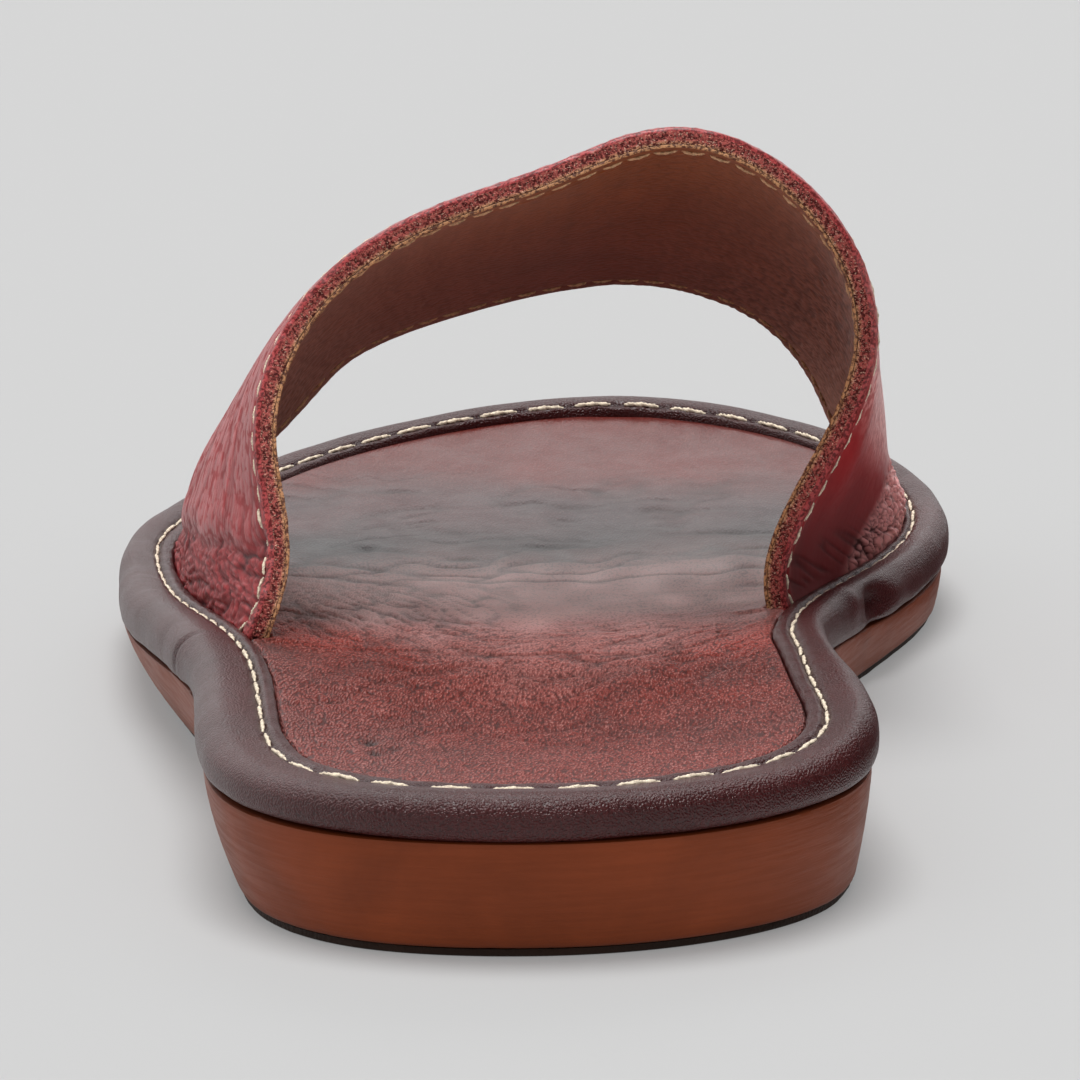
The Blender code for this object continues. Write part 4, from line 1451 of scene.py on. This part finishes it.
def make_strap_lining():
    """The thin lining, a hair proud of the raw edges."""
    sizes = own_sizes()
    back_depth = sizes.upper_thickness / MM + GLUE_LINE
    lining = sizes.lining_thickness / MM
    _, form, _ = strap_layers()
    face, crease_shade = lining_face(form, back_depth + lining)
    # The lines lie closer together beside both edges.
    wide = form.width.shape[1]
    beside = np.array(LINING_EDGE_LINES)
    lines = np.unique(np.concatenate([picked_lines(LINING_LINES, wide), beside, wide - 1 - beside]))
    depths = back_depth + lining * np.array((0.0, 0.35, 0.75))
    front = edge_band(form, True, depths, 0.08, 63, proud=LINING_PROUD)
    rear = edge_band(form, False, depths, 0.08, 64, proud=LINING_PROUD)
    back = (form.points - form.normal * back_depth)[:, picked_lines(HIDDEN_LINES, wide)]
    grid = np.concatenate([back[:, 1:-1], front, face[:, lines][:, ::-1], rear[:, ::-1]], axis=1)
    rows, columns = grid.shape[:2]
    first = HIDDEN_LINES - 2 + len(depths)
    across, shade = np.zeros(grid.shape[:2]), np.zeros(grid.shape[:2])
    across[:, first:first + len(lines)] = form.width[:, lines][:, ::-1]
    shade[:, first:first + len(lines)] = crease_shade[:, lines][:, ::-1]
    around = np.broadcast_to(form.climb[:, :1], across.shape)
    from_foot = np.minimum(around, round_the_instep(form)[0] - around)
    fields = {
        "surface": stacked(around, across, 0).reshape(-1, 3),
        "crease_shade": shade.ravel(),
        "leg": (0.9 * (1 - eased(from_foot, 10.0, 100.0))).ravel(),
    }
    slots = face_slots(rows, columns, first, len(lines) - 1)
    leathers = [lining_leather(), lining_edge()]
    make_piece("strap_lining", "strap", grid, capped_loft(rows, columns), leathers, slots, fields)


def at_distance(values, distance, at):
    """The row's value at a distance from the edge."""
    order = np.argsort(distance)
    return np.array([np.interp(at, distance[order], values[order, k]) for k in range(3)])


def make_strap_stitches():
    """Four seams: along both edges, on the grain side and on the lining side."""
    sizes = own_sizes()
    colours = own_colours()
    threads = {
        "grain": waxed_thread("strap_thread", colours.thread),
        "lining": waxed_thread("lining_thread", colours.lining_thread),
    }
    outer, form, _ = strap_layers()
    inset = seam_inset(form)
    inner = form.points - form.normal * ((sizes.upper_thickness + sizes.lining_thickness) / MM + GLUE_LINE)
    rows = range(outer.shape[0])
    shown = slice(len(LEG_STEPS) + 1, outer.shape[0] - len(LEG_STEPS) - 1)
    seed = 0
    for edge, distance in zip(("rear", "front"), both_edges(form)):
        column = np.abs(distance - inset).argmin(axis=1)
        for side, surface, lift, sign in (("grain", outer, 0.24, 1.0), ("lining", inner, 0.08, -1.0)):
            line = np.stack([at_distance(surface[r], distance[r], inset[r, column[r]]) for r in rows])
            away = np.stack([at_distance(form.normal[r], distance[r], inset[r, column[r]]) for r in rows])
            line = (line + away * sign * lift)[shown]
            seed += 1
            stitch_row(
                f"strap_stitches_{edge}_{side}", line, (away * sign)[shown], np.ones(line.shape),
                closed=False, Material=threads[side], Pitch=sizes.strap_stitch_pitch,
                Length=sizes.strap_stitch_length, Thickness=sizes.strap_thread, Sink=0.00022,
                Lean=0.07, Unevenness=0.08, Seed=seed,
            )


# ---------------------------------------------------------------- the insole
INSOLE_CREASES = (
    # across, along, half length, half width, depth, turn in degrees
    (-17.5, 29.0, 1.0, 2.0, 0.5, 0.0),
    (-18.5, 36.5, 0.8, 2.2, 0.5, 0.0),
    (-15.5, 33.0, 0.7, 1.2, 0.35, 0.0),
    (19.0, 206.0, 9.0, 1.2, 0.35, 4.0),
    (-30.0, 229.0, 4.5, 1.6, 0.35, -8.0),
    (-2.0, 229.0, 1.1, 3.6, 0.3, 10.0),
    (-8.0, 196.0, 7.0, 1.3, 0.22, 18.0),
    (-22.0, 205.0, 8.0, 1.3, 0.25, -12.0),
    (-30.0, 192.0, 7.0, 1.4, 0.3, -20.0),
    (-31.0, 178.0, 6.0, 1.4, 0.3, -32.0),
    (-30.0, 166.0, 6.0, 1.5, 0.3, -40.0),
    (4.0, 184.0, 5.0, 1.4, 0.18, 24.0),
    (12.0, 219.0, 8.0, 1.3, 0.2, 4.0),
)


def insole_top(across, along):
    """The padded top with its hollows, before any wear."""
    top = midsole_top(along) + INSOLE_EDGE_HEIGHT
    for _, along_at, across_at, depth, long_span, wide_span in INSOLE_HOLLOWS:
        top = top - depth * bell(along, along_at, long_span) * bell(across, across_at, wide_span)
    return top


def strap_slot(side):
    """How much further in the insole's edge lies where a foot of the strap stands beside it."""
    column = 1 if side == "lateral" else 3
    rear, front = STRAP_ROWS[0][column], STRAP_ROWS[-1][column]
    joint_along = inset_by(JOINT)[:, 1]
    into = eased(joint_along, rear - SLOT_MARGIN - SLOT_RAMP, rear - SLOT_MARGIN)
    out_of = eased(joint_along, front + SLOT_MARGIN, front + SLOT_MARGIN + SLOT_RAMP)
    return into * (1 - out_of) * (STRAP_WALL + 2 * SEAM_GAP)


def crest_along(across):
    """Where the insole's crest lies: it swings forward at both sides of the foot."""
    return 88.0 + 26.0 * eased(-across, 6.0, 36.0) + 20.0 * eased(across, 4.0, 27.0)


def slanted(across, along, degrees, spacing, length, seed):
    """Wrinkles that run long-drawn towards the toe, turned to one side."""
    drawn = along * LONG_DRAWN
    over, on = turned(drawn, across, degrees)
    wander = 0.5 * rolling(stacked(across / 5, drawn / 5, 0), seed + 1)
    return lines_in(over / spacing + wander, on / length, seed)


def insole_wrinkles(across, along, past):
    """Wrinkles round the crest, under the heel and under the ball."""
    lateral = slanted(across, along, 35, 1.15, 5.5, 81) * eased(-across, 2, 14) * bell(along, 122, 40)
    medial = slanted(across, along, -24, 1.1, 6.5, 83) * eased(across, -4, 8) * bell(along, 106, 32)
    wavy = past + 3.0 * rolling(stacked(across / 7, along / 22, 0), 84)
    middle = lines_in(wavy / 4.6, across / 9, 85) * bell(past, 4, 26) * bell(across, -4, 16)
    heel = 0.7 * slanted(across, along, 8, 2.2, 11, 88) + 0.6 * slanted(across, along, -22, 3.0, 9, 90)
    heel *= (1 - eased(along, 84, 104)) * eased(along, 22, 45)
    ball = 0.8 * slanted(across, along, -6, 2.1, 13, 89)
    ball *= eased(along, 150, 175) * (1 - eased(along, 228, 250))
    return lateral + 0.8 * medial + 0.7 * middle, heel, ball


def insole_relief(across, along):
    """Height of the insole's worn shapes over its plain top, and how much of each kind of wear, dust,
    painted light and painted crease shade there is.
    """
    past = along - crest_along(across)
    drawn = along * LONG_DRAWN
    sides = 0.35 + 0.65 * np.clip(eased(-across, 8, 30) + eased(across, 6, 22), 0, 1)
    relief = 0.15 * sides * np.where(past < 0, bell(past, 0, 9.0), bell(past, 0, 30.0))
    relief += 0.13 * rough(stacked(across / 3.2, drawn / 3.2, 0), 87)
    relief += 0.22 * rolling(stacked(across / 22, along / 26, 0), 91)
    crest, heel, ball = insole_wrinkles(across, along, past)
    relief -= 0.34 * np.clip(crest + heel + ball, 0, 1)
    pressed = np.zeros(np.shape(along))
    wander = 0.8 * rolling(stacked(across / 4, along / 4, 0), 93)
    for x, y, long, wide, depth, turn in INSOLE_CREASES:
        lengthwise, crosswise = turned(across - x, along - y, turn)
        mark = bell(lengthwise, 0, long) * bell(crosswise + wander, 0, wide)
        relief -= depth * mark
        pressed = np.maximum(pressed, mark * min(1.0, depth * 2.2))
    wear_and_painted_light = insole_wear_and_painted_light(across, along, past)
    # Painted shade in the pressed marks and the wrinkles.
    wear_and_painted_light["crease_shade"] = np.clip(pressed + 0.75 * crest + 0.35 * heel + 0.7 * ball, 0, 1)
    return relief, wear_and_painted_light


def insole_wear_and_painted_light(across, along, past):
    """Shares of dark patina, polish and warm glow, of pale dust past the crest that is made paler still as
    painted light where the strap shades the insole, and of grain worn smooth.
    """
    cloud = rolling(stacked(across / 11, along / 16, 0), 95)
    band = eased(along + 7 * cloud - 0.3 * across, 172, 204) * (1 - eased(along + 6 * cloud, 222, 248))
    # Pale dust past the crest, which also stands in as painted light where the strap shades the insole.
    start = past + 34.0 * bell(across, -2.0, 17.0) + 6 * cloud
    dust_and_painted_light = 0.34 * eased(start, -10.0, 30.0) + 0.66 * eased(past, 12.0, 54.0)
    # More painted light beside the strap's lateral foot, where its shadow falls.
    dust_and_painted_light += 0.6 * bell(across, -26.0, 12.0) * bell(along, 130.0, 22.0)
    dust_and_painted_light *= 1 - eased(along + 5 * cloud - 0.3 * across, 170.0, 206.0)
    dust_and_painted_light *= 0.85 + 0.2 * rolling(stacked(across / 4, along * LONG_DRAWN / 4, 0), 97)
    return {
        "patina": np.clip(band * (0.85 + 0.25 * cloud), 0, 1),
        "glow": bell(past, -9.0, 9.0) * np.clip(eased(-across, 14, 28) + eased(across, 10, 24), 0, 1),
        "polish": eased(along + 5 * cloud, 156, 200),
        "dust_and_painted_light": np.clip(dust_and_painted_light, 0, 1),
        "calm": eased(past, -20, 12),
    }


def make_insole():
    """The padded insole, laid out on rungs from its lateral to its medial edge."""
    slots = np.where(IS_LATERAL, strap_slot("lateral"), strap_slot("medial"))
    edge = inset_by(JOINT + SEAM_GAP + slots)
    lateral = edge[1:OUTLINE_STEPS]
    medial = edge[-1:OUTLINE_STEPS:-1]
    shares = bunched(INSOLE_ACROSS, 0.03, 2.0)
    plan = lateral[:, None] + (medial - lateral)[:, None] * shares[None, :, None]
    across, along = plan[..., 0], plan[..., 1]
    fade = 1 - (2 * shares - 1) ** 4
    flat = midsole_top(along) + INSOLE_EDGE_HEIGHT
    top = flat + fade * (insole_top(across, along) - flat)
    relief, wear_and_painted_light = insole_relief(across, along)
    from_side = np.minimum(shares, 1 - shares) * np.linalg.norm(medial - lateral, axis=1)[:, None]
    from_end = np.minimum(along - along.min(), along.max() - along)
    margin = np.minimum(from_side, from_end)
    lift = (rim_height(along, 3) - INSOLE_EDGE_HEIGHT - 0.35) * bell(margin, 0, 4.0)
    height = top + relief * eased(margin, 0.3, 3.5) + lift - rounded_off(margin, INSOLE_EDGE_TURN)
    grid = np.concatenate([plan, height[..., None]], axis=-1)

    # The rungs' ends run down to the base, and the two end rungs close the heel and the toe.
    base = midsole_top(along[:, [0, -1]]) + SEAM_GAP
    low_lateral = np.column_stack([lateral, base[:, 0]])[:, None]
    low_medial = np.column_stack([medial, base[:, 1]])[:, None]
    rungs = np.concatenate([low_lateral, grid, low_medial], axis=1)
    fields = {
        name: np.pad(share, [(0, 0), (1, 1)], mode="edge").ravel() for name, share in wear_and_painted_light.items()
    }
    faces = capped_loft(*rungs.shape[:2])
    piece = make_piece("insole_top", "insole", rungs, faces, [insole_leather()], fields=fields)


# ---------------------------------------------------------------- midsole and outsole
def rung_caps(first, count):
    """Faces that close a ring of points with rungs from its lateral to its medial side."""
    faces = []
    for k in range(count // 2):
        corners = [k, k + 1, (-k - 1) % count, -k % count]
        faces.append([first + c for c in dict.fromkeys(corners)])
    return faces


def slab(name, node, layers, material, fields=None):
    """A closed solid through rings of (inset, height), lowest first."""
    rings = np.stack([np.column_stack([inset_by(inset), height]) for inset, height in layers])
    rows, columns = rings.shape[:2]
    faces = loft_faces(rows, columns)
    faces += rung_caps(0, columns) + rung_caps((rows - 1) * columns, columns)
    make_piece(name, node, rings, faces, [material], fields=fields, sharp=SLAB_CORNER)


def make_midsole():
    """The wedge, with a slightly hollow wall whose two corners are rounded over and knocked in places."""
    low = sole_underside(ALONG) + OUTSOLE_THICKNESS + SEAM_GAP
    high = midsole_top(ALONG)
    layers, edge = [], []
    for share in bunched(26, 0.06, 3.0):
        hollow = RIM_UNDERCUT + (FOOT - RIM_UNDERCUT) * (1 - share) ** 1.58
        height = low + (high - low) * share
        near = np.minimum(height - low, 2 * (high - height))
        place = stacked(OUTSIDE[:, 0] / 16, OUTSIDE[:, 1] / 16, height / 9)
        uneven = 0.10 * rolling(place, 101) + 0.025 * rough(stacked(ROUND / 3.0, height / 0.7, 0), 103)
        nick = 0.3 * np.clip(rolling(stacked(ROUND / 1.3, 0, share), 105) - 0.72, 0, 1) * (near < 0.6)
        layers.append((hollow + rounded_off(near, MIDSOLE_BEVEL) - uneven + nick, height))
        edge.append(np.exp(-near / 0.45))
    fields = {"edge": np.array(edge).ravel()}
    slab("midsole_wall", "midsole", layers, burnished_edge(), fields)


def make_outsole():
    """The thin rubber sheet, a little uneven above its rounded lower edge."""
    low = sole_underside(ALONG)
    layers = []
    for share in (0.0, 0.08, 0.2, 0.35, 0.6, 0.85, 1.0):
        rounding = 0.5 * max(0.0, 1 - share / 0.3) ** 2
        uneven = 0.07 * rough(stacked(ROUND / 5.0, share * 2, 0), 111) * (share > 0.1)
        layers.append((FOOT + 0.5 + rounding - uneven, low + OUTSOLE_THICKNESS * share))
    slab("outsole_sheet", "outsole", layers, sole_rubber())


# ---------------------------------------------------------------- stage
CAMERA_PLACE = Vector((0.0607, -1.0180, 0.2120))
CAMERA_AIM = Vector((0.0072, -0.0670, 0.0350))
CAMERA_LENS = 270.0
FLOOR_HALF_WIDTH = 12.0
WHITE = (1.0, 1.0, 1.0, 1.0)

SUNS = (
    # name, strength, spread in degrees, turn in degrees, whether it shows in gloss
    ("overhead", 2.5, 34, (-4, -4, 0), True),
    ("from_left", 0.2, 60, (-12, -52, 0), True),
    ("fill", 0.95, 90, (55, -10, 0), False),
    ("under_strap", 0.95, 40, (-70, 6, 0), False),
)
PANELS = (
    # name, place, width, height, power
    ("back_panel", (0.0, 3.4, 2.2), 7.0, 1.8, 45.0),
    ("low_panel", (0.0, 4.0, 0.8), 7.0, 1.6, 5.0),
    ("left_panel", (-4.0, 0.6, 0.95), 7.0, 1.6, 45.0),
)
FLAG_LINE = ((0.112, -0.16), (0.094, -0.05), (0.082, 0.04), (0.088, 0.13), (0.104, 0.18))
FLAG_ROWS = (
    # how far each row stands aside from the line, and its height
    (-0.026, 0.001),
    (0.0, 0.001),
    (0.004, 0.085),
)


def make_floor():
    """A pale floor that glows a little, as a sheet lit from below does, so that shadows stay soft."""
    material, _, _ = new_material(
        "pale_floor", 0.9, Base_Color=(0.34, 0.34, 0.34, 1.0), Specular_IOR_Level=0.0,
        Emission_Color=WHITE, Emission_Strength=0.208,
    )
    bm = bmesh.new()
    bmesh.ops.create_grid(bm, x_segments=1, y_segments=1, size=FLOOR_HALF_WIDTH)
    mesh = bpy.data.meshes.new("floor")
    bm.to_mesh(mesh)
    bm.free()
    mesh.materials.append(material)
    new_object("floor", mesh)


def make_sky():
    """A pale wall all round that fades upwards, and a darker room behind the camera."""
    world = bpy.data.worlds.new("studio")
    world.use_nodes = True
    graph = Graph(world.node_tree)
    way = graph.add("ShaderNodeTexCoord").outputs["Generated"]
    wall = graph.fade(graph.axis(way, "Z"), 0.1, 0.7, 0.66, 0.26)
    behind = graph.fade(graph.axis(way, "Y"), -0.8, 0.1, 0.35, 1.0)
    background = world.node_tree.nodes["Background"]
    graph.fill(background, {"Color": WHITE, "Strength": graph.times(wall, behind)})
    bpy.context.scene.world = world


def add_panel(name, place, width, height, power):
    """A soft panel far off, turned to the shoe, that only shows as a sheen on the leather."""
    light = bpy.data.lights.new(name, "AREA")
    light.shape = "RECTANGLE"
    light.size, light.size_y = width, height
    light.energy = power
    lamp = new_object(name, light)
    lamp.location = place
    lamp.rotation_euler = (Vector() - Vector(place)).to_track_quat("-Z", "Z").to_euler()
    lamp.visible_camera = False
    lamp.visible_diffuse = False


def add_sun(name, strength, spread_degrees, turn, sheen):
    """Wide soft light from one side."""
    light = bpy.data.lights.new(name, "SUN")
    light.energy = strength
    light.angle = math.radians(spread_degrees)
    lamp = new_object(name, light)
    lamp.rotation_euler = [math.radians(angle) for angle in turn]
    lamp.visible_glossy = sheen


def add_flag():
    """A low dark card with a foot, beside the big-toe side: only reflections see it, as they would see the
    other shoe of the pair."""
    wide = len(FLAG_LINE)
    points = [(x + aside, y, height) for aside, height in FLAG_ROWS for x, y in FLAG_LINE]
    faces = [(k, k + 1, wide + k + 1, wide + k) for k in range(2 * wide - 1) if k != wide - 1]
    mesh = bpy.data.meshes.new("flag")
    mesh.from_pydata(points, [], faces)
    material, _, _ = new_material("black_card", 0.9, Base_Color=(0.06, 0.01, 0.01, 1.0))
    mesh.materials.append(material)
    card = new_object("flag", mesh)
    for ray in ("camera", "diffuse", "transmission", "shadow"):
        setattr(card, "visible_" + ray, False)


def add_camera():
    """A long lens, low behind the heel."""
    camera = bpy.data.cameras.new("camera")
    camera.sensor_width = 36.0
    camera.lens = CAMERA_LENS
    camera.clip_end = 100.0
    eye = new_object("camera", camera)
    eye.location = CAMERA_PLACE
    eye.rotation_euler = (CAMERA_AIM - CAMERA_PLACE).to_track_quat("-Z", "Y").to_euler()
    bpy.context.scene.camera = eye


def make_stage():
    """The floor, the light and the camera."""
    make_floor()
    make_sky()
    for sun in SUNS:
        add_sun(*sun)
    for panel in PANELS:
        add_panel(*panel)
    add_flag()
    add_camera()
    bpy.context.scene.view_settings.view_transform = "Standard"


# ---------------------------------------------------------------- operators
class SANDAL_OT_rim(bpy.types.Operator):
    """Builds the padded leather rim, rolled over its cord and stitched down"""
    bl_idname = "sandal.rim"
    bl_label = "Rim"

    def execute(self, context):
        make_rim()
        return {"FINISHED"}


class SANDAL_OT_rim_stitches(bpy.types.Operator):
    """Sews the row of stitches along the rim's valley"""
    bl_idname = "sandal.rim_stitches"
    bl_label = "Rim stitches"

    def execute(self, context):
        make_rim_stitches()
        return {"FINISHED"}


class SANDAL_OT_strap(bpy.types.Operator):
    """Builds the strap's outer leather and its lining"""
    bl_idname = "sandal.strap"
    bl_label = "Strap"

    def execute(self, context):
        make_strap_upper()
        make_strap_lining()
        return {"FINISHED"}


class SANDAL_OT_strap_stitches(bpy.types.Operator):
    """Sews the seams along both edges of the strap"""
    bl_idname = "sandal.strap_stitches"
    bl_label = "Strap stitches"

    def execute(self, context):
        make_strap_stitches()
        return {"FINISHED"}


class SANDAL_OT_insole(bpy.types.Operator):
    """Builds the worn leather insole"""
    bl_idname = "sandal.insole"
    bl_label = "Insole"

    def execute(self, context):
        make_insole()
        return {"FINISHED"}


class SANDAL_OT_sole(bpy.types.Operator):
    """Builds the burnished midsole and the rubber outsole"""
    bl_idname = "sandal.sole"
    bl_label = "Midsole and outsole"

    def execute(self, context):
        make_midsole()
        make_outsole()
        return {"FINISHED"}


class SANDAL_OT_stage(bpy.types.Operator):
    """Sets up the floor, the studio light and the camera"""
    bl_idname = "sandal.stage"
    bl_label = "Stage"

    def execute(self, context):
        make_stage()
        return {"FINISHED"}


class SANDAL_PT_sandal(bpy.types.Panel):
    """Sizes, colours and building steps of the sandal"""
    bl_idname = "SANDAL_PT_sandal"
    bl_label = "Slide sandal"
    bl_space_type = "VIEW_3D"
    bl_region_type = "UI"
    bl_category = "Sandal"

    def draw(self, context):
        for group in (context.scene.sandal_sizes, context.scene.sandal_colours):
            box = self.layout.box()
            for name in group.__annotations__:
                box.prop(group, name)
        for operator in STEPS:
            self.layout.operator(operator.bl_idname)


STEPS = (
    SANDAL_OT_stage,
    SANDAL_OT_sole,
    SANDAL_OT_insole,
    SANDAL_OT_rim,
    SANDAL_OT_rim_stitches,
    SANDAL_OT_strap,
    SANDAL_OT_strap_stitches,
)
CLASSES = (SandalSizes, SandalColours, *STEPS, SANDAL_PT_sandal)


def register():
    for cls in CLASSES:
        bpy.utils.register_class(cls)
    bpy.types.Scene.sandal_sizes = PointerProperty(type=SandalSizes)
    bpy.types.Scene.sandal_colours = PointerProperty(type=SandalColours)


def unregister():
    del bpy.types.Scene.sandal_colours
    del bpy.types.Scene.sandal_sizes
    for cls in reversed(CLASSES):
        bpy.utils.unregister_class(cls)


def main():
    register()
    bpy.ops.sandal.stage()
    bpy.ops.sandal.sole()
    bpy.ops.sandal.insole()
    bpy.ops.sandal.rim()
    bpy.ops.sandal.rim_stitches()
    bpy.ops.sandal.strap()
    bpy.ops.sandal.strap_stitches()


if __name__ == "__main__":
    main()
